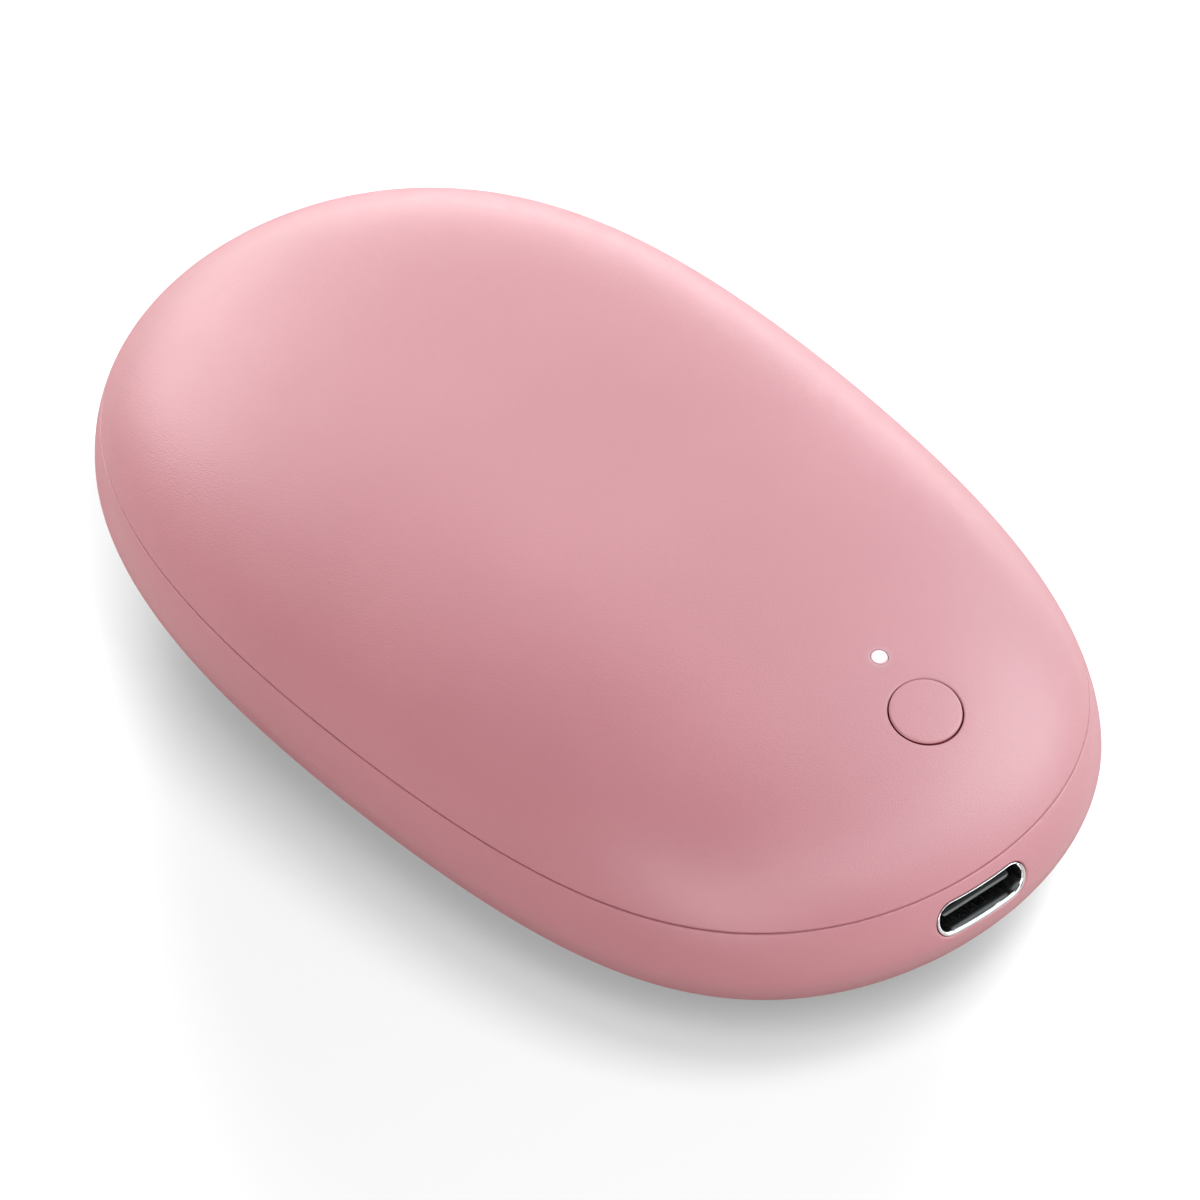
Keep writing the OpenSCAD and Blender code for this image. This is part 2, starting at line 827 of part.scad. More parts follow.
// The socket is open towards the cells, where the plug goes in
module battery_socket() {
    inner = plug_socket - [plug_socket_wall, 2 * plug_socket_wall, 2 * plug_socket_wall];
    color("#EDE7DA")
    difference() {
        board_box(plug_at, plug_socket);
        translate([board_back_x + plug_at[0] - plug_socket[0] / 2 - over, plug_at[1] - inner[1] / 2,
                board_top_z + plug_socket_wall])
            cube([inner[0] + over, inner[1], inner[2]]);
    }
}

module battery_plug() {
    size = [plug_body, plug_socket[1] - 2 * plug_socket_wall - 2 * plug_fit,
        plug_socket[2] - 2 * plug_socket_wall - 2 * plug_fit];
    mouth_x = board_back_x + plug_at[0] - plug_socket[0] / 2;
    color("white")
    translate([mouth_x + plug_insert - plug_body, plug_at[1] - size[1] / 2,
            board_top_z + plug_socket_wall + plug_fit])
        cube(size);
}

module inner_frame() {
    mid_x = (frame_front_x + frame_rear_x) / 2;
    outer = [frame_front_x - frame_rear_x, 2 * frame_half_width];
    color("#D8D4CC")
    difference() {
        union() {
            translate([mid_x, 0, frame_z])
                linear_extrude(frame_floor + frame_rise)
                round_rect(outer, cell_corner + frame_wall);
            for (at = ear_places) {
                post(at, post_diameter / 2, ear_z, ear_z + ear_thickness);
                translate([at[0] - post_diameter / 2, min(at[1], sign(at[1]) * frame_half_width), ear_z])
                    cube([post_diameter, ear_reach, ear_thickness]);
            }
        }
        translate([mid_x, 0, lower_cell_z])
            linear_extrude(frame_rise + over)
            round_rect(outer - [2 * frame_wall, 2 * frame_wall], cell_corner);
        for (at = ear_places) {
            post(at, screw_hole, ear_z - over, ear_z + ear_thickness + over);
        }
    }
}

module frame_screws() {
    color("silver")
    for (at = ear_places) {
        screw(at, ear_z + ear_thickness);
    }
}

module cell(z) {
    color("#AEB6BD")
    translate([-cell_back, 0, z])
        linear_extrude(cell_height)
        round_rect([cell_length, cell_width], cell_corner);
}

module lower_cell() {
    cell(lower_cell_z);
}

module upper_cell() {
    cell(upper_cell_z);
}

module cell_bond_pad() {
    color("#F0E9C8")
    translate([-cell_back, 0, bond_z])
        linear_extrude(bond_thickness)
        round_rect([cell_length - 2 * cell_corner, cell_width - 2 * cell_corner], cell_corner);
}

module cell_tabs() {
    color("silver")
    for (z = [lower_cell_z, upper_cell_z]) {
        for (s = [-1, 1]) {
            translate([cell_front_x, s * tab_spread / 2 - tab_width / 2,
                    z + cell_height / 2 - tab_sheet / 2])
                cube([tab_length, tab_width, tab_sheet]);
        }
    }
}

module protection_board() {
    color("#1F5B3A")
    translate([guard_x, -guard_width / 2, bond_z + bond_thickness / 2 - guard_rise / 2])
        cube([guard_thickness, guard_width, guard_rise]);
}

// From the protection board over the frame's wall into the back of the plug
module battery_lead(s) {
    start_z = bond_z + bond_thickness / 2 + guard_rise / 3;
    plug_x = board_back_x + plug_at[0] - plug_socket[0] / 2 + plug_insert - plug_body;
    plug_z = board_top_z + plug_socket[2] / 2;
    plug_y = plug_at[1] + s * plug_wire_pitch / 2;
    wire([guard_x + guard_thickness, plug_y, start_z],
        [wire_bend, 0, 0],
        [plug_x, plug_y, plug_z],
        [-wire_bend, 0, 0],
        wire_diameter);
}

module battery_lead_red() {
    color("#C02A2A")
    battery_lead(1);
}

module battery_lead_black() {
    color("#222222")
    battery_lead(-1);
}

// The outline that a plate and its film share, at the height that leaves the least room
module bottom_plate_outline() {
    level_outline(bottom_plate_z, wall, plate_gap);
}
module top_plate_outline() {
    level_outline(top_plate_top_z, wall, plate_gap);
}

// A resistance track that runs to and fro inside a plate's outline
module track(half_length, half_width) {
    runs = floor((half_width - track_pitch) / track_pitch);
    reach = [for (i = [-runs : runs])
        (half_length - track_pitch) * sqrt(1 - pow(i * track_pitch / half_width, 2)) - track_width];
    for (i = [-runs : runs]) {
        r = reach[i + runs];
        translate([-r, i * track_pitch - track_width / 2])
            square([2 * r, track_width]);
    }
    for (i = [-runs : runs - 1]) {
        side = i % 2 == 0 ? 1 : -1;
        r = min(reach[i + runs], reach[i + runs + 1]);
        translate([side > 0 ? r - track_width : -r, i * track_pitch - track_width / 2])
            square([track_width, track_pitch + track_width]);
    }
}

module bottom_heat_plate() {
    color("#C9CCD0")
    translate([0, 0, bottom_plate_z])
        linear_extrude(plate_thickness)
        bottom_plate_outline();
}

module bottom_heater_film() {
    color("#C97E2E")
    translate([0, 0, bottom_film_z])
        linear_extrude(film_thickness)
        bottom_plate_outline();
}

module bottom_heater_track() {
    s = belly_scale(bottom_plate_z, wall, 90);
    color("#8C5A2B")
    translate([-cell_back, 0, bottom_track_z])
        linear_extrude(track_thickness)
        track(cell_length / 2, (case_width / 2 - wall) * s - plate_gap);
}

module bottom_foam_pad() {
    color("#4A4A4E")
    translate([-cell_back, 0, bottom_foam_z])
        linear_extrude(foam_thickness)
        round_rect([cell_length - 2 * cell_corner, cell_width - 2 * cell_corner], cell_corner);
}

module top_heat_plate() {
    color("#C9CCD0")
    translate([0, 0, top_plate_z])
        linear_extrude(plate_thickness)
        top_plate_outline();
}

module top_heater_film() {
    color("#C97E2E")
    translate([0, 0, top_film_z])
        linear_extrude(film_thickness)
        top_plate_outline();
}

module top_heater_track() {
    s = dome_scale(top_plate_top_z, wall);
    color("#8C5A2B")
    translate([-cell_back / 2, 0, top_track_z])
        linear_extrude(track_thickness)
        track((case_length / 2 - wall) * s - plate_gap, (case_width / 2 - wall) * s - plate_gap);
}

module top_foam_pad() {
    color("#4A4A4E")
    translate([-cell_back, 0, cells_top_z])
        linear_extrude(top_foam_thickness)
        round_rect([cell_length - 2 * top_foam_inset, cell_width - 2 * top_foam_inset], cell_corner);
}

// Straight up from the film to the underside of the board
module bottom_heater_leads() {
    color("#EAEAEA")
    for (i = [0, 1]) {
        at = [board_back_x + bottom_lead_inset, bottom_lead_y - i * lead_spread];
        rise = board_z - bottom_track_z;
        wire([at[0], at[1], bottom_track_z], [0, 0, rise / 3],
            [at[0], at[1], board_z], [0, 0, -rise / 3], wire_diameter);
    }
}

// From the underside of the film down to pads at the back of the board
module top_heater_leads() {
    color("#EAEAEA")
    for (i = [0, 1]) {
        start = [frame_front_x - top_lead_back, top_lead_y + i * lead_spread, top_film_z];
        finish = [board_back_x + top_pad_inset, top_pad_y + i * lead_spread, board_top_z];
        drop = (start[2] - finish[2]) / 2;
        wire(start, [0, 0, -drop], finish, [0, 0, drop], wire_diameter);
    }
}

// A small bead against the underside of the top heater film
module temperature_sensor() {
    color("#2F4F8F")
    translate([frame_front_x - top_lead_back - sensor_length / 2, sensor_y,
            top_film_z - sensor_diameter / 2])
        rotate([0, 90, 0])
        cylinder(h = sensor_length, r = sensor_diameter / 2);
}

module sensor_leads() {
    color("#EAEAEA")
    for (s = [-1, 1]) {
        start = [frame_front_x - top_lead_back + sensor_length / 2, sensor_y + s * sensor_wire_spread,
            top_film_z - sensor_diameter / 2];
        finish = [board_back_x + top_pad_inset, sensor_pad_y + s * sensor_wire, board_top_z];
        drop = (start[2] - finish[2]) / 2;
        wire(start, [sensor_length / 2, 0, 0], finish, [0, 0, drop], sensor_wire);
    }
}

top_shell();
bottom_shell();
power_button();
light_pipe();
usb_socket_shell();
usb_socket_tongue();
usb_contacts();
main_board();
status_led();
switch_housing();
switch_cover();
switch_plunger();
switch_snap_dome();
charge_controller();
microcontroller();
power_inductor();
heater_transistors();
board_capacitors();
board_resistors();
board_screws();
battery_socket();
battery_plug();
inner_frame();
frame_screws();
lower_cell();
upper_cell();
cell_bond_pad();
cell_tabs();
protection_board();
battery_lead_red();
battery_lead_black();
bottom_heat_plate();
bottom_heater_film();
bottom_heater_track();
bottom_foam_pad();
top_heat_plate();
top_heater_film();
top_heater_track();
top_foam_pad();
bottom_heater_leads();
top_heater_leads();
temperature_sensor();
sensor_leads();
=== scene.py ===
"""Looks of the rechargeable hand warmer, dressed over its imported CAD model.

Sizes of the object are millimetres, as in the part, until mesh_piece() writes them in metres.
The materials and the room are in metres.
"""

import json
import math
from collections import Counter

import bmesh
import bpy
import numpy as np
from mathutils import Matrix, Vector
from mathutils.geometry import delaunay_2d_cdt


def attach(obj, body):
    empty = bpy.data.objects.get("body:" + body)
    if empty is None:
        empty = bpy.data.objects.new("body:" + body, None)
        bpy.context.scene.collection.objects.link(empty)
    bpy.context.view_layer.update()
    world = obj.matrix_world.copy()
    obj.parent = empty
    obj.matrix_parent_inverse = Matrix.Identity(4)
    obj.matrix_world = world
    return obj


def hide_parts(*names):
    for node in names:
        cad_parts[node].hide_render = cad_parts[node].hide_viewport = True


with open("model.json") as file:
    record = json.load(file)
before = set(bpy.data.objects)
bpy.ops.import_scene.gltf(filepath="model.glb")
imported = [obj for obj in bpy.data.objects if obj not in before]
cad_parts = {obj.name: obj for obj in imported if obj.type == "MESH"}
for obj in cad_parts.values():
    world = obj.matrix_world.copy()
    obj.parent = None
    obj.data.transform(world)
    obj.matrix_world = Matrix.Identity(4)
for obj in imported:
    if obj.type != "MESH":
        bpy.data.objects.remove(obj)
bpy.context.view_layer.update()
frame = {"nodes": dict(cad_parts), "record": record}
MM = 0.001

# The case, as in the part, with its widest level at EDGE_Z
CASE_LENGTH = 97.2
CASE_WIDTH = 56.2
EDGE_Z = 11.1
DOME_HEIGHT = 16.9
SEAM_Z = 15.25
FOOT_CUT = 0.35
BELLY_SHIFT = 3.7
END_TAPER = 0.055
SIDE_FULLNESS = 0.282
DOME_POWER = 3.2
SHOULDER_POWER = 2.0
UNDER_POWER = 3.5
END_POWER_GAIN = 1.2
KEEL_POWER = 1.7
WALL = 1.8
FLOOR = 1.8

# The joint between the two shells, which each stand back from the seam by SEAM_GAP
LIP = 0.9
LIP_FIT = 0.12
TONGUE_Z = 14.45
SEAM_GAP = 0.028
SEAM_FILLET = 0.2
SILL_FILLET = 0.07

# The button and the light
BUTTON_X = 38.0
LIGHT_X = 32.6
BUTTON_Y = 3.4
BUTTON_RADII = (2.501, 3.05)
BUTTON_RISE = 0.12
BUTTON_GAP = 0.1
BORE_RADII = (BUTTON_RADII[0] + BUTTON_GAP, BUTTON_RADII[1] + BUTTON_GAP)
BUTTON_FILLET = 0.16
GUIDE_Z = 18.2
GUIDE_RADIUS = 3.95
FLANGE_RADIUS = 3.95
FLANGE_THICKNESS = 0.8
STEM_RADIUS = 1.3
STEM_Z = 13.52
LIGHT_RADIUS = 0.675
LIGHT_FIT = 0.03
LIGHT_BOSS = 0.5
LIGHT_FILLET = 0.06
PIPE_RADIUS = 1.1
PIPE_Z = 11.67

# The socket
SOCKET_Z = 12.5
SOCKET_WIDTH = 8.94
SOCKET_HEIGHT = 3.16
SOCKET_SHEET = 0.3
SOCKET_FIT = 0.08
SOCKET_BACK = 40.6
SOCKET_RECESS = 0.04
SOCKET_EDGE = 0.04
SOCKET_BEVEL = 0.3
SOCKET_ROLL = 0.5
BLADE_WIDTH = 6.69
BLADE_HEIGHT = 0.7
BLADE_FRONT = 47.35
BLADE_BACK = 40.9
BLOCK_FRONT = 42.9
NOSE_FILLET = 0.14

# Fineness of the meshes
ROUND = 288
CROWN_RINGS = 72
BELLY_RINGS = 44
SIDE_RINGS = 12
LINING_RINGS = 8
BUTTON_COUNT = 120
LIGHT_COUNT = 48
SLOT_COUNT = 28
RIM_COUNT = 64
STRAIGHT_COUNT = 18
ANGLES = np.linspace(0, 2 * math.pi, ROUND, endpoint=False)
OUTLINE_ANGLES = np.linspace(-math.pi, math.pi, 2881)
END_ANGLES = np.linspace(-0.8, 0.8, 321)
FILLET_STEPS = [math.radians(a) for a in (0, 18, 36, 54, 72, 90)]
BEVEL_STEPS = np.linspace(0.25, 1, 6) * math.pi / 2
CAP_SHARES = np.linspace(0.12, 1, 9)[:-1]
SHARP_ANGLE = 40

# Where the shells get a fine mesh round their holes, and how far below the dome a gap's faces get painted
# shade
DOME_PATCH = 5.0
DOME_SPACING = 0.42
SLOT_PATCH = 0.5
SLOT_PATCH_ABOVE = (0.35, 0.2)
SLOT_PATCH_FROM = 30
SLOT_SPACING = 0.36
ROW_SHARE = math.sqrt(0.75)
FENCE_SHARES = (0, 0.25, 0.5, 0.75)
MERGE_DISTANCE = 1e-9
SHADE_DEPTH = 0.24
SHADE_LOWEST = 18.0


# Shape of the case

def plan(t, inset=0.0):
    """The outline seen from above at the angles t, drawn in by an inset."""
    c, s = np.cos(t), np.sin(t)
    x = (CASE_LENGTH / 2 - inset) * c + BELLY_SHIFT * s ** 2
    y = (CASE_WIDTH / 2 - inset) * s * (1 - END_TAPER * c + SIDE_FULLNESS * c ** 2)
    return x, y


def level_scale(z, t, inset=0.0):
    """How much the outline shrinks at a height."""
    if z >= EDGE_Z:
        up = (z - EDGE_Z) / (DOME_HEIGHT - inset)
        return (1 - up ** SHOULDER_POWER) ** (1 / DOME_POWER) + 0 * t
    down = (EDGE_Z - z) / (EDGE_Z + FOOT_CUT - inset)
    return (1 - down ** KEEL_POWER) ** (1 / (UNDER_POWER + END_POWER_GAIN * np.cos(t) ** 2))


def crown_z(share, inset=0.0):
    """Height of the dome where its section has shrunk to a share."""
    return EDGE_Z + (DOME_HEIGHT - inset) * (1 - share ** DOME_POWER) ** (1 / SHOULDER_POWER)


def ring(z, inset=0.0):
    """A ring of points on the case's surface at a height."""
    x, y = plan(ANGLES, inset)
    s = level_scale(z, ANGLES, inset)
    return np.stack([x * s, y * s, np.full(ROUND, z)], 1)


def dome_points(x, y, inset=0.0):
    """Points of the dome over the places x, y."""
    px, py = plan(OUTLINE_ANGLES, inset)
    reach = np.interp(np.arctan2(y, x), np.arctan2(py, px), np.hypot(px, py))
    return np.stack([x, y, crown_z(np.hypot(x, y) / reach, inset)], 1)


def dome_point(x, y):
    """The one point of the dome over the place x, y."""
    return dome_points(np.array([x]), np.array([y]))[0]


def end_points(y, z, inset=0.0):
    """Points of the socket end's surface at the places y, z."""
    px, py = plan(END_ANGLES, inset)
    x = []
    for yi, zi in zip(y, z):
        s = level_scale(zi, END_ANGLES, inset)
        x.append(np.interp(yi, py * s, px * s))
    return np.stack([np.array(x), y, z], 1)


# Outlines

def oval(radii, grow, count):
    """An oval about the origin, made larger by grow all round."""
    t = np.linspace(0, 2 * math.pi, count, endpoint=False)
    return (radii[0] + grow) * np.cos(t), (radii[1] + grow) * np.sin(t)


def level_ring(x, y, radii, count, z):
    """A level oval ring of points about the place x, y."""
    cx, cy = oval(radii, 0, count)
    return np.stack([x + cx, y + cy, np.full(count, z)], 1)


def flat_oval(width, height, grow, count=SLOT_COUNT):
    """Two half circles and two straights about the socket's axis, as places y and z."""
    r = height / 2 + grow
    run = width / 2 - height / 2
    a = np.linspace(-math.pi / 2, math.pi / 2, count)
    straight = np.linspace(run, -run, STRAIGHT_COUNT)[1:-1]
    y = np.concatenate([run + r * np.cos(a), straight, -run - r * np.cos(a), -straight])
    z = np.concatenate([r * np.sin(a), 0 * straight + r, -r * np.sin(a), 0 * straight - r])
    return y, SOCKET_Z + z


def slot_outline(grow, count=SLOT_COUNT):
    """Outline of the socket, grown by a margin."""
    return flat_oval(SOCKET_WIDTH, SOCKET_HEIGHT, grow, count)


def upright(outline, x):
    """Points of an outline of places y and z, stood up at one x."""
    y, z = outline
    return np.stack([np.full(len(y), x), y, z], 1)


def rounded(rim, radius):
    """Rings round an edge. rim makes one from its two distances to the corner that is rounded off."""
    return [rim(radius * (1 - math.sin(a)), radius * (1 - math.cos(a))) for a in FILLET_STEPS]


# Meshes

class Skin:
    """Points and faces of a mesh, gathered ring by ring."""

    def __init__(self):
        self.points = []
        self.faces = []

    def add(self, points):
        """Adds points and returns their numbers."""
        start = len(self.points)
        self.points.extend(tuple(float(v) for v in p) for p in points)
        return list(range(start, len(self.points)))

    def bridge(self, a, b):
        """Joins two rings of as many points by four-sided faces."""
        for i in range(len(a)):
            j = (i + 1) % len(a)
            self.faces.append((a[i], a[j], b[j], b[i]))

    def cap(self, ring_ids, point):
        """Closes a ring by triangles to a point."""
        tip = self.add([point])[0]
        for i in range(len(ring_ids)):
            self.faces.append((ring_ids[i], ring_ids[(i + 1) % len(ring_ids)], tip))

    def stack(self, rings, first):
        """Joins rings one after the other to a first one and returns the last one."""
        last = first
        for points in rings:
            ids = self.add(points)
            self.bridge(last, ids)
            last = ids
        return last


def inside(points, loop):
    """Which of the flat points lie inside a closed loop."""
    x, y = points[:, 0], points[:, 1]
    result = np.zeros(len(points), bool)
    for (x0, y0), (x1, y1) in zip(loop, np.roll(loop, -1, axis=0)):
        crosses = (y0 > y) != (y1 > y)
        with np.errstate(divide="ignore", invalid="ignore"):
            at = (x1 - x0) * (y - y0) / (y1 - y0) + x0
        result ^= crosses & (x < at)
    return result


def border_loop(faces):
    """The closed loop of edges round a patch of faces."""
    count = Counter()
    for face in faces:
        for i in range(len(face)):
            count[frozenset((face[i], face[(i + 1) % len(face)]))] += 1
    beside = {}
    for edge, times in count.items():
        if times == 1:
            a, b = edge
            beside.setdefault(a, []).append(b)
            beside.setdefault(b, []).append(a)
    loop = [min(beside)]
    loop.append(beside[loop[0]][0])
    while True:
        onward = [v for v in beside[loop[-1]] if v != loop[-2]][0]
        if onward == loop[0]:
            return loop
        loop.append(onward)


def fenced(triangles, fence, seed):
    """The triangles that can be reached from the seed point without crossing the fence."""
    beside = {}
    for t in triangles:
        for i in range(3):
            beside.setdefault(frozenset((t[i], t[(i + 1) % 3])), []).append(t)
    blocked = {frozenset(edge) for edge in fence}
    reached = {t for t in triangles if seed in t}
    waiting = list(reached)
    while waiting:
        t = waiting.pop()
        for i in range(3):
            edge = frozenset((t[i], t[(i + 1) % 3]))
            if edge in blocked:
                continue
            for other in beside[edge]:
                if other not in reached:
                    reached.add(other)
                    waiting.append(other)
    return reached


def spread(outer, rims, spacing):
    """Evenly spread flat points inside the outer loop and outside the rims, clear of all the loops."""
    low, high = outer.min(0), outer.max(0)
    rows = np.arange(low[1], high[1], spacing * ROW_SHARE)
    free = np.array([(x + (i % 2) * spacing / 2, y) for i, y in enumerate(rows)
                     for x in np.arange(low[0], high[0], spacing)])
    keep = inside(free, outer)
    for rim in rims:
        keep &= ~inside(free, rim)
    fence = np.concatenate([loop + s * (np.roll(loop, -1, axis=0) - loop)
                            for loop in [outer] + rims for s in FENCE_SHARES])
    away = np.min(np.linalg.norm(free[:, None] - fence[None], axis=2), axis=1)
    return free[keep & (away > spacing / 2)]


def patch(skin, ids, zone, axes, lift, holes, spacing):
    """Opens the faces at those of the points ids that are in a zone, and fills them again, finely and
    round the holes, with points that lift puts on the true surface."""
    flat = np.array(skin.points)[:, axes]
    in_zone = np.zeros(len(flat), bool)
    in_zone[ids] = zone(flat[ids])
    dead = [f for f in skin.faces if any(in_zone[v] for v in f)]
    gone = set(dead)
    skin.faces = [f for f in skin.faces if f not in gone]
    loops = [border_loop(dead)] + list(holes)
    outer, *rims = [flat[loop] for loop in loops]
    free = spread(outer, rims, spacing)
    numbers = [v for loop in loops for v in loop] + skin.add(lift(free[:, 0], free[:, 1]))
    places = [Vector(p) for p in np.concatenate([outer] + rims + [free])]
    edges = []
    begin = 0
    for loop in loops:
        n = len(loop)
        edges += [(begin + i, begin + (i + 1) % n) for i in range(n)]
        begin += n
    _, _, triangles, origins, _, _ = delaunay_2d_cdt(places, edges, [], 0, MERGE_DISTANCE)
    triangles = [tuple(origins[v][0] for v in t) for t in triangles]
    skin.faces += [tuple(numbers[v] for v in t) for t in fenced(triangles, edges, len(places) - 1)]


def turn_outwards(mesh):
    """Drops loose points and turns every face outwards."""
    bm = bmesh.new()
    bm.from_mesh(mesh)
    bmesh.ops.delete(bm, geom=[v for v in bm.verts if not v.link_faces], context="VERTS")
    bmesh.ops.recalc_face_normals(bm, faces=bm.faces)
    bm.to_mesh(mesh)
    bm.free()
    mesh.update()


def mesh_piece(name, skin):
    """Makes an object of a skin, in metres, with smooth shading up to the sharp angle."""
    mesh = bpy.data.meshes.new(name)
    mesh.from_pydata([[v * MM for v in p] for p in skin.points], [], skin.faces)
    mesh.update()
    turn_outwards(mesh)
    for face in mesh.polygons:
        face.use_smooth = True
    mesh.set_sharp_from_angle(angle=math.radians(SHARP_ANGLE))
    obj = bpy.data.objects.new(name, mesh)
    bpy.context.scene.collection.objects.link(obj)
    return obj


# The two shells

def shade_gaps(obj):
    """Gives the faces far below the dome's surface, as in its holes, the piece's second material: a painted
    shade.
    """
    middles = np.array([tuple(f.center) for f in obj.data.polygons]) / MM
    with np.errstate(invalid="ignore"):
        depth = dome_points(middles[:, 0], middles[:, 1])[:, 2] - middles[:, 2]
    painted_shade = (middles[:, 2] > SHADE_LOWEST) & (depth > SHADE_DEPTH)
    for f in obj.data.polygons:
        f.material_index = int(painted_shade[f.index])
    return obj


def crown_rings(inset, low_z):
    """Rings from a height up to the top of the dome."""
    low_share = level_scale(low_z, np.zeros(1), inset)[0]
    steps = [math.sin(math.pi / 2 * i / CROWN_RINGS) for i in range(CROWN_RINGS, 0, -1)]
    return [ring(crown_z(low_share * s, inset), inset) for s in steps]


def belly_heights(depth, lowest):
    """Heights from under the widest level down to the lowest, closer together towards the bottom."""
    low = math.asin((EDGE_Z - lowest) / depth)
    return [EDGE_Z - depth * math.sin(low * i / BELLY_RINGS) for i in range(1, BELLY_RINGS + 1)]


def oval_hole(skin, x, y, radii, fillet, collar, count):
    """A hole down through the dome: a rounded edge, a wall and a round guide ring under the dome."""
    def rim(grow, depth):
        cx, cy = oval(radii, grow, count)
        return dome_points(x + cx, y + cy) - [0, 0, depth]
    edge = rounded(rim, fillet)
    outer = skin.add(edge[0])
    guide = [level_ring(x, y, r, count, GUIDE_Z) for r in (radii, (collar, collar))]
    last = skin.stack(edge[1:] + guide, outer)
    cx, cy = oval((collar, collar), 0, count)
    inner = skin.stack([dome_points(x + cx, y + cy, WALL)], last)
    return outer, inner


def near_button(flat):
    """Which places x, y are near the line from the light to the button."""
    along = np.clip(flat[:, 0], LIGHT_X, BUTTON_X)
    return np.hypot(flat[:, 0] - along, flat[:, 1] - BUTTON_Y) < DOME_PATCH


def top_shell():
    """The domed shell: its outer side, seam edge, lip and inner side, and the button's and light's holes."""
    skin = Skin()
    seam = SEAM_Z + SEAM_GAP
    crown = crown_rings(0, seam + SEAM_FILLET)
    start = skin.add(crown[0])
    last = skin.stack(crown[1:], start)
    skin.cap(last, (0, 0, crown_z(0)))
    outer_ids = list(range(len(skin.points)))
    edge = rounded(lambda up, inward: ring(seam + up, inward), SEAM_FILLET)
    lip = [ring(seam, LIP), ring(TONGUE_Z, LIP), ring(TONGUE_Z, WALL)]
    last = skin.stack(edge[1:] + lip, start)
    inner_first = len(skin.points)
    last = skin.stack(crown_rings(WALL, SEAM_Z), last)
    skin.cap(last, (0, 0, crown_z(0, WALL)))
    inner_ids = list(range(inner_first, len(skin.points)))
    button = oval_hole(skin, BUTTON_X, BUTTON_Y, BORE_RADII, BUTTON_FILLET, GUIDE_RADIUS, BUTTON_COUNT)
    light = oval_hole(skin, LIGHT_X, BUTTON_Y, (LIGHT_RADIUS + LIGHT_FIT,) * 2, LIGHT_FILLET,
                      LIGHT_RADIUS + LIGHT_BOSS, LIGHT_COUNT)
    for ids, inset, holes in zip((outer_ids, inner_ids), (0.0, WALL), zip(button, light)):
        patch(skin, ids, near_button, [0, 1], lambda x, y: dome_points(x, y, inset), holes, DOME_SPACING)
    return shade_gaps(mesh_piece("case_top", skin))


def slot_hole(skin):
    """The socket's slot: a rounded edge and a wall through the case's end."""
    def rim(grow, depth, inset=0.0):
        return end_points(*slot_outline(SOCKET_FIT + grow), inset) - [depth, 0, 0]
    edge = rounded(rim, SEAM_FILLET)
    outer = skin.add(edge[0])
    inner = skin.stack(edge[1:] + [rim(0, 0, WALL)], outer)
    return outer, inner


def near_slot(above):
    """A test for places y, z near the socket's slot, with a margin of its own above the slot."""
    def zone(flat):
        y, z = flat[:, 0], flat[:, 1] - SOCKET_Z
        half = SOCKET_HEIGHT / 2
        return (np.abs(y) < SOCKET_WIDTH / 2 + SLOT_PATCH) & (z > -half - SLOT_PATCH) & (z < half + above)
    return zone


def bottom_shell():
    """The lower shell: its outer side, seam edge, ledge and inner side, and the socket's slot."""
    skin = Skin()
    seam = SEAM_Z - SEAM_GAP
    step_z = TONGUE_Z - LIP_FIT
    heights = belly_heights(EDGE_Z + FOOT_CUT, 0)[-2::-1]
    heights += list(np.linspace(EDGE_Z, seam - SILL_FILLET, SIDE_RINGS))
    first = skin.add(ring(0.0))
    last = skin.stack([ring(z) for z in heights], first)
    skin.cap(first, (0, 0, 0))
    outer_ids = list(range(len(skin.points)))
    edge = rounded(lambda down, inward: ring(seam - down, inward), SILL_FILLET)
    ledge = [ring(seam, LIP - LIP_FIT), ring(step_z, LIP - LIP_FIT)]
    last = skin.stack(edge[1:] + ledge, last)
    inner_first = len(skin.points)
    heights = list(np.linspace(step_z, EDGE_Z, LINING_RINGS))
    heights += belly_heights(EDGE_Z + FOOT_CUT - WALL, FLOOR)
    last = skin.stack([ring(z, WALL) for z in heights], last)
    skin.cap(last, (0, 0, FLOOR))
    inner_ids = list(range(inner_first, len(skin.points)))
    slot = slot_hole(skin)
    for ids, inset, hole, above in zip((outer_ids, inner_ids), (0.0, WALL), slot, SLOT_PATCH_ABOVE):
        front = [i for i in ids if skin.points[i][0] > SLOT_PATCH_FROM]
        patch(skin, front, near_slot(above), [1, 2], lambda y, z: end_points(y, z, inset), [hole],
              SLOT_SPACING)
    return mesh_piece("case_bottom", skin)


# The button, the light and the socket

def turned_cap(name, x, y, radii, fillet, steps, count, rise=0.0):
    """A pin whose top follows the dome: a rounded edge, then the given radii and heights."""
    skin = Skin()
    def rim(inward, depth, share=1.0):
        cx, cy = oval(radii, -inward, count)
        return dome_points(x + cx * share, y + cy * share) + [0, 0, rise - depth]
    rings = [rim(fillet, 0, share) for share in CAP_SHARES] + rounded(rim, fillet)
    rings += [level_ring(x, y, outline, count, z) for outline, z in steps]
    first = skin.add(rings[0])
    last = skin.stack(rings[1:], first)
    skin.cap(first, dome_point(x, y) + [0, 0, rise])
    skin.cap(last, (x, y, steps[-1][1]))
    return mesh_piece(name, skin)


def power_button():
    """The button's cap with its flange and stem."""
    low = GUIDE_Z - FLANGE_THICKNESS
    flange, stem = (FLANGE_RADIUS,) * 2, (STEM_RADIUS,) * 2
    steps = [(BUTTON_RADII, GUIDE_Z), (flange, GUIDE_Z), (flange, low), (stem, low), (stem, STEM_Z)]
    cap = turned_cap("button_cap", BUTTON_X, BUTTON_Y, BUTTON_RADII, BUTTON_FILLET, steps,
                     BUTTON_COUNT, BUTTON_RISE)
    return shade_gaps(cap)


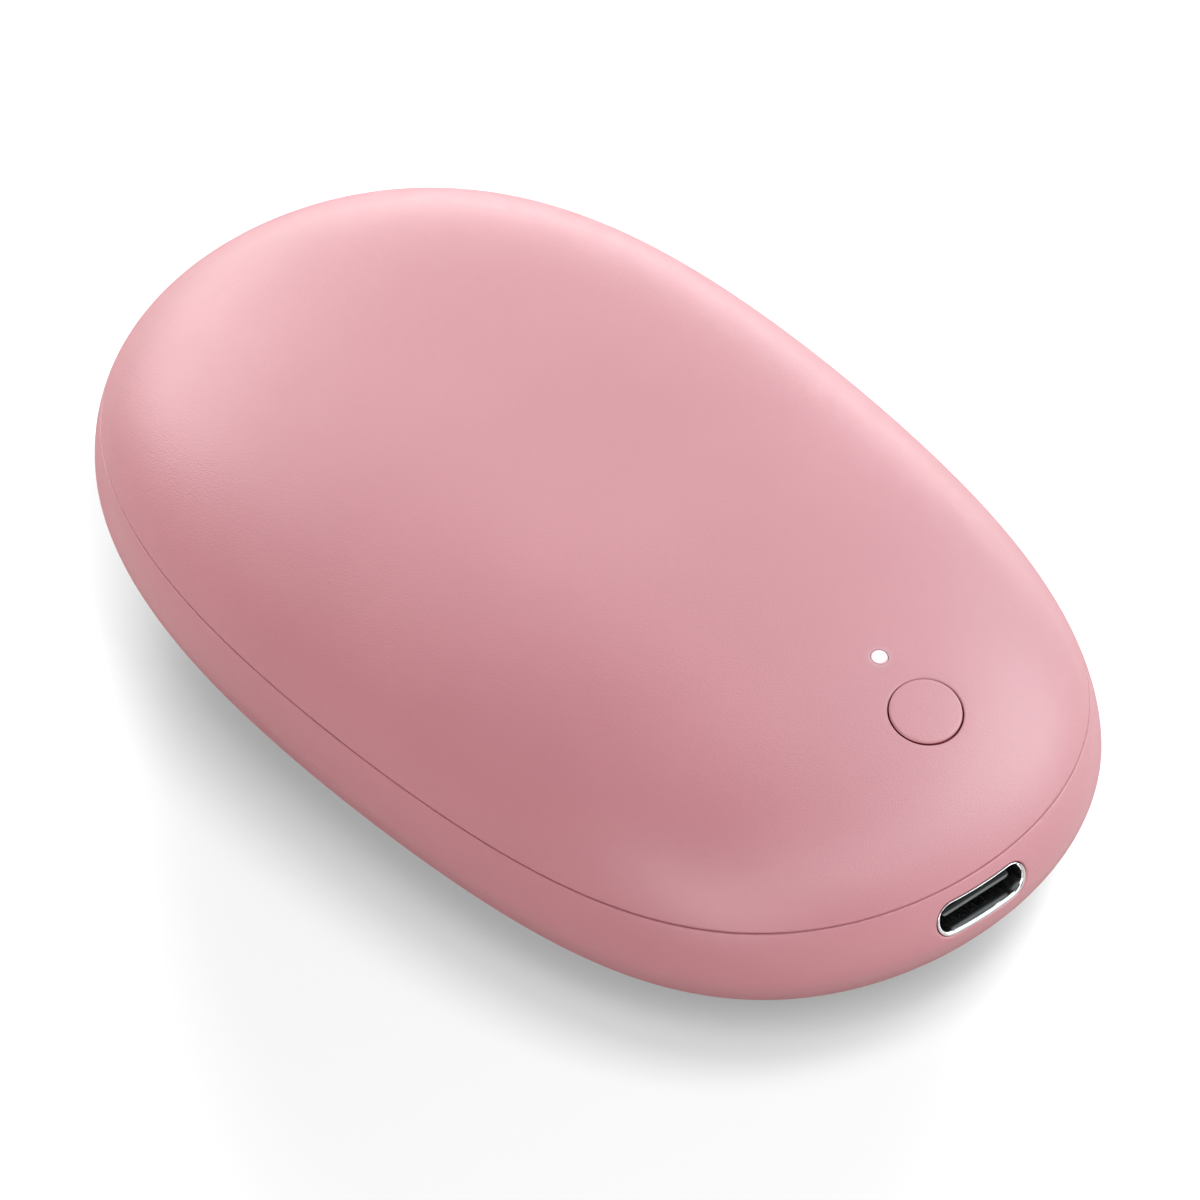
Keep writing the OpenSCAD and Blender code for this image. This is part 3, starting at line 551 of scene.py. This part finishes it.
def light_pipe():
    """The pin that shows as the status light."""
    eye, pipe = (LIGHT_RADIUS,) * 2, (PIPE_RADIUS,) * 2
    steps = [(eye, GUIDE_Z), (pipe, GUIDE_Z), (pipe, PIPE_Z)]
    return turned_cap("light_dot", LIGHT_X, BUTTON_Y, eye, LIGHT_FILLET, steps, LIGHT_COUNT)


def socket_rim():
    """A sheet-metal tube whose mouth follows the case, with a bevelled lip that rolls in at the top."""
    skin = Skin()
    def mouth(inward, depth):
        points = end_points(*slot_outline(-inward, RIM_COUNT))
        points[:, 0] -= depth + SOCKET_RECESS
        return points
    edge = rounded(lambda depth, inward: mouth(inward, depth), SOCKET_EDGE)
    run = SOCKET_SHEET - SOCKET_EDGE
    high = np.clip((slot_outline(0, RIM_COUNT)[1] - SOCKET_Z) / (SOCKET_HEIGHT / 2), 0, 1) ** 2
    bevel = [mouth(SOCKET_EDGE + run * math.sin(a),
                   (1 - high) * SOCKET_BEVEL * (1 - math.cos(a)) + high * SOCKET_ROLL * math.sin(a))
             for a in BEVEL_STEPS]
    lining = upright(slot_outline(-SOCKET_SHEET, RIM_COUNT), SOCKET_BACK + SOCKET_SHEET)
    first = skin.add(upright(slot_outline(0, RIM_COUNT), SOCKET_BACK))
    last = skin.stack(edge + bevel + [lining], first)
    skin.cap(first, (SOCKET_BACK, 0, SOCKET_Z))
    skin.cap(last, (SOCKET_BACK + SOCKET_SHEET, 0, SOCKET_Z))
    return mesh_piece("socket_rim", skin)


def socket_blade():
    """The block at the socket's back and the flat tongue with rounded edges."""
    skin = Skin()
    block = slot_outline(-SOCKET_SHEET - SOCKET_FIT)
    def blade(x, shrink):
        return upright(flat_oval(BLADE_WIDTH, BLADE_HEIGHT, -shrink), x)
    first = skin.add(upright(block, BLADE_BACK))
    nose = rounded(lambda back, shrink: blade(BLADE_FRONT - back, shrink), NOSE_FILLET)
    last = skin.stack([upright(block, BLOCK_FRONT), blade(BLOCK_FRONT, 0)] + nose, first)
    skin.cap(first, (BLADE_BACK, 0, SOCKET_Z))
    skin.cap(last, (BLADE_FRONT, 0, SOCKET_Z))
    return mesh_piece("socket_blade", skin)


# Material nodes

def start_material(name):
    """A new material with its node tree and shader."""
    m = bpy.data.materials.new(name)
    m.use_nodes = True
    return m, m.node_tree, m.node_tree.nodes["Principled BSDF"]


def object_place(tree):
    """Object coordinates."""
    return tree.nodes.new("ShaderNodeTexCoord").outputs["Object"]


def stretched_place(tree, stretch):
    """Object coordinates, stretched."""
    mapping = tree.nodes.new("ShaderNodeMapping")
    mapping.inputs["Scale"].default_value = stretch
    tree.links.new(object_place(tree), mapping.inputs["Vector"])
    return mapping.outputs["Vector"]


def noise(tree, scale, detail=3.0, rough=0.5, stretch=(1, 1, 1)):
    """Cloudy noise."""
    n = tree.nodes.new("ShaderNodeTexNoise")
    n.inputs["Scale"].default_value = scale
    n.inputs["Detail"].default_value = detail
    n.inputs["Roughness"].default_value = rough
    tree.links.new(stretched_place(tree, stretch), n.inputs["Vector"])
    return n.outputs["Fac"]


def cells(tree, scale, stretch=(1, 1, 1)):
    """A pattern of cells, as in foam."""
    v = tree.nodes.new("ShaderNodeTexVoronoi")
    v.inputs["Scale"].default_value = scale
    tree.links.new(stretched_place(tree, stretch), v.inputs["Vector"])
    return v.outputs["Distance"]


def ramp(tree, factor, positions, colours):
    """A ramp from one colour to another between two positions."""
    r = tree.nodes.new("ShaderNodeValToRGB")
    for element, position, colour in zip(r.color_ramp.elements, positions, colours):
        element.position = position
        element.color = (*colour, 1)
    tree.links.new(factor, r.inputs["Fac"])
    return r.outputs["Color"]


def remap(tree, value, low, high, start=0.0, stop=1.0):
    """Maps a value's run from start to stop onto the run from low to high."""
    m = tree.nodes.new("ShaderNodeMapRange")
    m.inputs["From Min"].default_value = start
    m.inputs["From Max"].default_value = stop
    m.inputs["To Min"].default_value = low
    m.inputs["To Max"].default_value = high
    tree.links.new(value, m.inputs["Value"])
    return m.outputs["Result"]


def combine(tree, operation, first, second):
    """Two values put together. The second may be a plain number."""
    m = tree.nodes.new("ShaderNodeMath")
    m.operation = operation
    tree.links.new(first, m.inputs[0])
    if isinstance(second, float):
        m.inputs[1].default_value = second
    else:
        tree.links.new(second, m.inputs[1])
    return m.outputs[0]


def vector_math(tree, operation, vector, other=None):
    """A step of vector arithmetic, with a plain vector as its second part."""
    v = tree.nodes.new("ShaderNodeVectorMath")
    v.operation = operation
    tree.links.new(vector, v.inputs[0])
    if other is not None:
        v.inputs[1].default_value = other
    return v


def bump(tree, shader, height, strength, distance):
    """Gives the shader a relief."""
    b = tree.nodes.new("ShaderNodeBump")
    b.inputs["Strength"].default_value = strength
    b.inputs["Distance"].default_value = distance
    tree.links.new(height, b.inputs["Height"])
    tree.links.new(b.outputs["Normal"], shader.inputs["Normal"])


# Materials

# The pink plastic
PINK_LOW = (0.490, 0.202, 0.232)
PINK_HIGH = (0.510, 0.212, 0.243)
PINK_STOPS = (0.35, 0.65)
PINK_CLOUDS = 60.0
PINK_ROUGHNESS = (0.31, 0.37)
PINK_GLOSS_SPOTS = 500.0
PINK_LEVEL = 0.570
HAZE_START = 0.7
GRAZING_HAZE = 0.35
SCATTER_SHARE = 0.08
SCATTER_RADII = (0.0012, 0.0006, 0.0006)
GRAIN_SCALE = 6600.0
GRAIN_ROUGHNESS = 0.7
GRAIN_STRENGTH = 0.85
GRAIN_DEPTH = 0.00004

# The status light and the glow round it, with distances from its middle in mm
EYE_START = 0.50
EYE_END = 0.66
EYE_SQUEEZE = 0.88
EYE_WHITE = (0.95, 0.95, 0.96)
EYE_LIGHT = (1.0, 0.98, 0.98)
EYE_GLOW = (1.15, 0.12)
EYE_ROUGHNESS = 0.3
HALO_LIGHT = (0.12, 0.85, 1.0)
HALO_END = 1.45
HALO_GLOW = 0.11
HALO_POWER = 2.0

# The socket's tongue, with a painted highlight within PAINTED_LIGHT_LENGTH of its front, fading upwards
# between two heights, in mm
TONGUE_BLACK = (0.006, 0.006, 0.006)
TONGUE_PAINTED_LIGHT = (0.13, 0.13, 0.135)
PAINTED_LIGHT_STOPS = (0.2, 0.9)
PAINTED_LIGHT_LENGTH = 0.22
PAINTED_LIGHT_HEIGHTS = (0.02, 0.14)
TONGUE_SPOTS = 900.0
TONGUE_ROUGHNESS = (0.55, 0.7)
TONGUE_LEVEL = 0.25
TONGUE_GRAIN = 0.1

# What the plain finishes share
FINISH_STOPS = (0.3, 0.7)
RELIEF_FINENESS = 4
RELIEF_ROUGHNESS = 0.6
RELIEF_DEPTH = 0.00002


def finish_material(name, colours, roughness, scale=900.0, metallic=0.0, grain=0.15, depth=RELIEF_DEPTH,
                    stretch=(1, 1, 1), pattern=noise, level=0.5):
    """A material with a mottled colour, an uneven gloss and a fine relief."""
    m, tree, shader = start_material(name)
    spots = pattern(tree, scale, stretch=stretch)
    tree.links.new(ramp(tree, spots, FINISH_STOPS, colours), shader.inputs["Base Color"])
    tree.links.new(remap(tree, spots, *roughness), shader.inputs["Roughness"])
    shader.inputs["Metallic"].default_value = metallic
    shader.inputs["Specular IOR Level"].default_value = level
    relief = noise(tree, scale * RELIEF_FINENESS, rough=RELIEF_ROUGHNESS, stretch=stretch)
    bump(tree, shader, relief, grain, depth)
    return m


def from_lamp(tree):
    """The distance from the middle of the status light, drawn in along the case as the slope asks."""
    lamp = dome_point(LIGHT_X, BUTTON_Y) * MM
    away = vector_math(tree, "SUBTRACT", object_place(tree), lamp.tolist())
    stretched = vector_math(tree, "MULTIPLY", away.outputs[0], (1 / EYE_SQUEEZE, 1, 1))
    return vector_math(tree, "LENGTH", stretched.outputs[0]).outputs["Value"]


def add_halo(tree, shader):
    """A faint glow of the plastic round the status light."""
    near = remap(tree, from_lamp(tree), 1.0, 0.0, LIGHT_RADIUS * MM, HALO_END * MM)
    glow = combine(tree, "POWER", near, HALO_POWER)
    tree.links.new(remap(tree, glow, 0.0, HALO_GLOW), shader.inputs["Emission Strength"])
    shader.inputs["Emission Color"].default_value = (*HALO_LIGHT, 1)


def pink_plastic(name, halo):
    """Satin moulded plastic with a very fine grain, hazier at grazing angles."""
    m, tree, shader = start_material(name)
    cloud = noise(tree, PINK_CLOUDS, 2.0)
    tree.links.new(ramp(tree, cloud, PINK_STOPS, (PINK_LOW, PINK_HIGH)), shader.inputs["Base Color"])
    gloss = remap(tree, noise(tree, PINK_GLOSS_SPOTS), *PINK_ROUGHNESS)
    facing = tree.nodes.new("ShaderNodeLayerWeight").outputs["Facing"]
    haze = remap(tree, facing, 0.0, GRAZING_HAZE, HAZE_START, 1.0)
    tree.links.new(combine(tree, "ADD", gloss, haze), shader.inputs["Roughness"])
    shader.inputs["Subsurface Weight"].default_value = SCATTER_SHARE
    shader.inputs["Subsurface Radius"].default_value = SCATTER_RADII
    shader.inputs["Subsurface Scale"].default_value = 1.0
    shader.inputs["Specular IOR Level"].default_value = PINK_LEVEL
    bump(tree, shader, noise(tree, GRAIN_SCALE, 2.0, GRAIN_ROUGHNESS), GRAIN_STRENGTH, GRAIN_DEPTH)
    if halo:
        add_halo(tree, shader)
    return m


def lit_dot():
    """The light pipe's end: white and glowing in the middle, fading to the case's pink at its edge."""
    m, tree, shader = start_material("lit_dot")
    edge = remap(tree, from_lamp(tree), 0.0, 1.0, EYE_START * MM, EYE_END * MM)
    tree.links.new(ramp(tree, edge, (0.0, 1.0), (EYE_WHITE, PINK_HIGH)), shader.inputs["Base Color"])
    shader.inputs["Roughness"].default_value = EYE_ROUGHNESS
    tree.links.new(remap(tree, edge, *EYE_GLOW), shader.inputs["Emission Strength"])
    shader.inputs["Emission Color"].default_value = (*EYE_LIGHT, 1)
    return m


def chrome():
    """The socket's polished shell."""
    return finish_material("polished_steel", ((0.80, 0.80, 0.81), (0.86, 0.86, 0.87)), (0.10, 0.16),
                           scale=600.0, metallic=1.0, grain=0.03)


def painted_gap_shade():
    """The same plastic far down in a gap, where hardly any light comes, painted dark as that shade."""
    return finish_material("painted_gap_shade", ((0.150, 0.028, 0.033), (0.180, 0.036, 0.042)), (0.7, 0.8),
                           level=0.0)


def socket_black():
    """Black plastic, with a painted highlight on the lower half of the tongue's nose."""
    m, tree, shader = start_material("socket_black")
    split = tree.nodes.new("ShaderNodeSeparateXYZ")
    tree.links.new(object_place(tree), split.inputs[0])
    # The painted highlight covers the front of the nose and fades out upwards.
    nose = remap(tree, split.outputs["X"], 0.0, 1.0, (BLADE_FRONT - PAINTED_LIGHT_LENGTH) * MM, BLADE_FRONT * MM)
    low = remap(tree, split.outputs["Z"], 1.0, 0.0, *((SOCKET_Z + h) * MM for h in PAINTED_LIGHT_HEIGHTS))
    painted_light = combine(tree, "MULTIPLY", nose, low)
    tree.links.new(ramp(tree, painted_light, PAINTED_LIGHT_STOPS, (TONGUE_BLACK, TONGUE_PAINTED_LIGHT)), shader.inputs["Base Color"])
    tree.links.new(remap(tree, noise(tree, TONGUE_SPOTS), *TONGUE_ROUGHNESS), shader.inputs["Roughness"])
    shader.inputs["Specular IOR Level"].default_value = TONGUE_LEVEL
    bump(tree, shader, noise(tree, TONGUE_SPOTS * RELIEF_FINENESS), TONGUE_GRAIN, RELIEF_DEPTH)
    return m


# The finish of each of the record's material slots inside the case
INNER_FINISHES = {
    "bright_steel": dict(colours=((0.72, 0.72, 0.73), (0.82, 0.82, 0.83)), roughness=(0.16, 0.28),
                         metallic=1.0, stretch=(1, 9, 9)),
    "gold_contact": dict(colours=((0.10, 0.09, 0.075), (0.15, 0.135, 0.11)), roughness=(0.3, 0.45),
                         metallic=1.0),
    "green_board": dict(colours=((0.006, 0.085, 0.035), (0.018, 0.17, 0.075)), roughness=(0.28, 0.42),
                        scale=420.0, stretch=(1, 4, 1)),
    "lamp": dict(colours=((0.82, 0.74, 0.42), (0.95, 0.92, 0.78)), roughness=(0.2, 0.35)),
    "dark_plastic": dict(colours=((0.012, 0.012, 0.014), (0.022, 0.022, 0.025)), roughness=(0.45, 0.6)),
    "black_resin": dict(colours=((0.010, 0.010, 0.011), (0.020, 0.020, 0.021)), roughness=(0.5, 0.65)),
    "spring_steel": dict(colours=((0.55, 0.55, 0.56), (0.68, 0.68, 0.70)), roughness=(0.25, 0.4),
                         metallic=1.0),
    "ivory_plastic": dict(colours=((0.74, 0.68, 0.55), (0.80, 0.75, 0.63)), roughness=(0.4, 0.52)),
    "ferrite": dict(colours=((0.030, 0.030, 0.033), (0.060, 0.060, 0.064)), roughness=(0.7, 0.85),
                    scale=2600.0, grain=0.5),
    "ceramic": dict(colours=((0.36, 0.24, 0.14), (0.46, 0.33, 0.21)), roughness=(0.35, 0.5)),
    "resistor_black": dict(colours=((0.010, 0.010, 0.012), (0.030, 0.030, 0.034)), roughness=(0.3, 0.45)),
    "screw_steel": dict(colours=((0.50, 0.50, 0.51), (0.64, 0.64, 0.66)), roughness=(0.22, 0.38),
                        metallic=1.0),
    "frame_plastic": dict(colours=((0.56, 0.53, 0.48), (0.63, 0.60, 0.55)), roughness=(0.5, 0.62),
                          scale=300.0),
    "cell_foil": dict(colours=((0.42, 0.45, 0.48), (0.58, 0.61, 0.64)), roughness=(0.26, 0.42),
                      metallic=0.9, scale=180.0, grain=0.5, depth=0.0001),
    "bond_tape": dict(colours=((0.76, 0.72, 0.52), (0.84, 0.80, 0.62)), roughness=(0.7, 0.85)),
    "nickel": dict(colours=((0.62, 0.60, 0.56), (0.72, 0.70, 0.66)), roughness=(0.2, 0.34),
                   metallic=1.0, stretch=(9, 1, 9)),
    "red_wire": dict(colours=((0.50, 0.016, 0.016), (0.62, 0.028, 0.024)), roughness=(0.35, 0.48)),
    "black_wire": dict(colours=((0.012, 0.012, 0.012), (0.022, 0.022, 0.022)), roughness=(0.35, 0.48)),
    "white_wire": dict(colours=((0.72, 0.72, 0.70), (0.82, 0.82, 0.80)), roughness=(0.38, 0.5)),
    "plate_aluminium": dict(colours=((0.60, 0.61, 0.63), (0.72, 0.73, 0.75)), roughness=(0.28, 0.42),
                            metallic=1.0, scale=260.0, stretch=(1, 14, 1)),
    "amber_film": dict(colours=((0.50, 0.20, 0.030), (0.62, 0.28, 0.050)), roughness=(0.2, 0.34),
                       scale=240.0),
    "track_metal": dict(colours=((0.26, 0.12, 0.045), (0.36, 0.18, 0.070)), roughness=(0.3, 0.46),
                        metallic=0.8),
    "foam": dict(colours=((0.035, 0.035, 0.038), (0.085, 0.085, 0.090)), roughness=(0.85, 0.95),
                 scale=1500.0, grain=0.8, depth=0.0002, pattern=cells),
    "sensor_bead": dict(colours=((0.020, 0.055, 0.20), (0.032, 0.080, 0.28)), roughness=(0.25, 0.38)),
}


def dress_inner_nodes(shown):
    """Gives the CAD nodes, apart from those that finer meshes replace, the finishes of their slots."""
    made = {name: finish_material("inner_" + name, **values) for name, values in INNER_FINISHES.items()}
    for row in frame["record"]["subparts"]:
        if row["node"] not in shown:
            for mesh_slot in frame["nodes"][row["node"]].material_slots:
                mesh_slot.material = made[row["material_slot"]]


# The room

FLOOR_SIZE = 3.0
FLOOR_TONE = (0.08, 0.08, 0.08)
FLOOR_GLOW = 0.374
CARD_TONE = (0.0615, 0.0590, 0.0555)
CARD_LIFT = 0.00002
PAINT_ROUGHNESS = 0.9
PAINT_LEVEL = 0.1
LIGHT_REACH = 0.7
LIGHT_TARGET = (0, 0, 0.012)
WORLD_LIGHT = 0.0

# Each box: compass angle and height angle in degrees, width and height in m, power in W, warmth
BODY_BOXES = [
    (60, 25, 0.55, 0.60, 4.85, -0.14), (180, 25, 0.55, 0.60, 3.80, 0.06),
    (300, 13, 0.56, 0.54, 3.65, 0.08), (0, 38, 0.74, 0.28, 2.10, -0.12),
    (120, 39, 0.74, 0.65, 2.20, -0.02), (204, 13, 0.56, 0.54, 2.00, 0.12),
    (72, 70, 0.48, 0.28, 0.85, -0.10), (96, 18, 0.28, 0.43, 0.35, -0.50),
    (160, 10, 0.50, 0.30, 0.50, 0.00), (20, 12, 0.50, 0.30, 0.35, -0.20),
]
FLOOR_BOXES = [
    (24, 70, 0.28, 0.28, 19.4, 0.0), (336, 54, 0.28, 0.28, 21.1, 0.0),
    (144, 12, 0.28, 0.28, 67.8, 0.0), (120, 12, 0.28, 0.28, 43.3, 0.0),
]


def plane(name, height, tone, glow=0.0):
    """A level square that isn't part of the object."""
    mesh = bpy.data.meshes.new(name)
    half = FLOOR_SIZE / 2
    corners = [(x, y, height) for x, y in ((-half, -half), (half, -half), (half, half), (-half, half))]
    mesh.from_pydata(corners, [], [(0, 1, 2, 3)])
    obj = bpy.data.objects.new(name, mesh)
    bpy.context.scene.collection.objects.link(obj)
    m, _, shader = start_material(name + "_paint")
    shader.inputs["Base Color"].default_value = (*tone, 1)
    shader.inputs["Roughness"].default_value = PAINT_ROUGHNESS
    shader.inputs["Specular IOR Level"].default_value = PAINT_LEVEL
    shader.inputs["Emission Color"].default_value = (1, 1, 1, 1)
    shader.inputs["Emission Strength"].default_value = glow
    mesh.materials.append(m)
    return obj


def ground():
    """The floor that the camera sees, and a card over it that gives the light from below instead."""
    floor = plane("floor", 0.0, FLOOR_TONE, FLOOR_GLOW)
    floor.visible_diffuse = False
    floor.visible_glossy = False
    card = plane("bounce_card", CARD_LIFT, CARD_TONE)
    card.visible_camera = False
    card.visible_shadow = False
    return [floor, card]


def soft_box(name, turn, lift, width, height, power, warmth, lit):
    """A soft box that faces the object from one direction and lights what one collection says."""
    turn, lift = math.radians(turn), math.radians(lift)
    towards = Vector((math.cos(lift) * math.cos(turn), math.cos(lift) * math.sin(turn), math.sin(lift)))
    data = bpy.data.lights.new(name, "AREA")
    data.shape = "RECTANGLE"
    data.size, data.size_y = width, height
    data.energy = power
    cool, warm = max(-warmth, 0), max(warmth, 0)
    data.color = (1 - cool, 1 - warm, 1 - warm)
    obj = bpy.data.objects.new(name, data)
    bpy.context.scene.collection.objects.link(obj)
    obj.location = Vector(LIGHT_TARGET) + towards * LIGHT_REACH
    obj.rotation_euler = towards.to_track_quat("Z", "Y").to_euler()
    obj.light_linking.receiver_collection = lit


def lights(ground_planes):
    """One set of soft boxes for the floor and the card, and one for everything else."""
    world = bpy.data.worlds.new("studio")
    bpy.context.scene.world = world
    world.use_nodes = True
    back = world.node_tree.nodes["Background"]
    back.inputs["Color"].default_value = (1, 1, 1, 1)
    back.inputs["Strength"].default_value = WORLD_LIGHT
    groups = (("floor_light", FLOOR_BOXES, "INCLUDE"), ("body_light", BODY_BOXES, "EXCLUDE"))
    for group, boxes, state in groups:
        lit = bpy.data.collections.new(group)
        for obj in ground_planes:
            lit.objects.link(obj)
        for member in lit.collection_objects:
            member.light_linking.link_state = state
        for i, box in enumerate(boxes):
            soft_box(f"{group}_{i + 1}", *box, lit)
    bpy.context.scene.view_settings.view_transform = "Standard"


# The camera, as fitted to the photo: angles in degrees, distance, shifts and sensor in mm

AZIMUTH = 53.38
ELEVATION = 44.17
ROLL = -4.20
DISTANCE = 1000.0
SHIFT_RIGHT = -0.355
SHIFT_UP = -7.392
PIXELS_PER_MM = 12.448
PHOTO_SIDE = 1200
SENSOR = 36.0
CLIP_END = 100


def camera():
    """Looks at the object as the photo does."""
    az, el, ro = (math.radians(a) for a in (AZIMUTH, ELEVATION, ROLL))
    back = np.array([math.sin(az) * math.cos(el), -math.cos(az) * math.cos(el), math.sin(el)])
    level = np.array([math.cos(az), math.sin(az), 0])
    steep = np.cross(back, level)
    right = math.cos(ro) * level + math.sin(ro) * steep
    up = -math.sin(ro) * level + math.cos(ro) * steep
    at = (DISTANCE * back - SHIFT_RIGHT * right - SHIFT_UP * up) * MM
    data = bpy.data.cameras.new("camera")
    data.sensor_width = SENSOR
    data.lens = PIXELS_PER_MM * DISTANCE / PHOTO_SIDE * SENSOR
    data.clip_end = CLIP_END
    obj = bpy.data.objects.new("camera", data)
    bpy.context.scene.collection.objects.link(obj)
    obj.matrix_world = Matrix([[right[i], up[i], back[i], at[i]] for i in range(3)] + [[0, 0, 0, 1]])
    bpy.context.scene.camera = obj


# The picture

camera()
lights(ground())

pink = pink_plastic("satin_pink", halo=True)
button_pink = pink_plastic("satin_pink_button", halo=False)
# The second material of the shell and the button is painted shade for the faces inside their gaps.
painted_shade = painted_gap_shade()
pieces = [
    (top_shell(), "top_shell", "case", [pink, painted_shade], "pink_plastic"),
    (bottom_shell(), "bottom_shell", "case", [pink], "pink_plastic"),
    (power_button(), "power_button", "button", [button_pink, painted_shade], "pink_button"),
    (light_pipe(), "light_pipe", "case", [lit_dot()], "light_guide"),
    (socket_rim(), "usb_socket_shell", "case", [chrome()], "bright_steel"),
    (socket_blade(), "usb_socket_tongue", "case", [socket_black()], "black_resin"),
]
for obj, node, body, materials, slot in pieces:
    for material in materials:
        obj.data.materials.append(material)
    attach(obj, body)
    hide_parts(node)
dress_inner_nodes([node for _, node, _, _, _ in pieces])
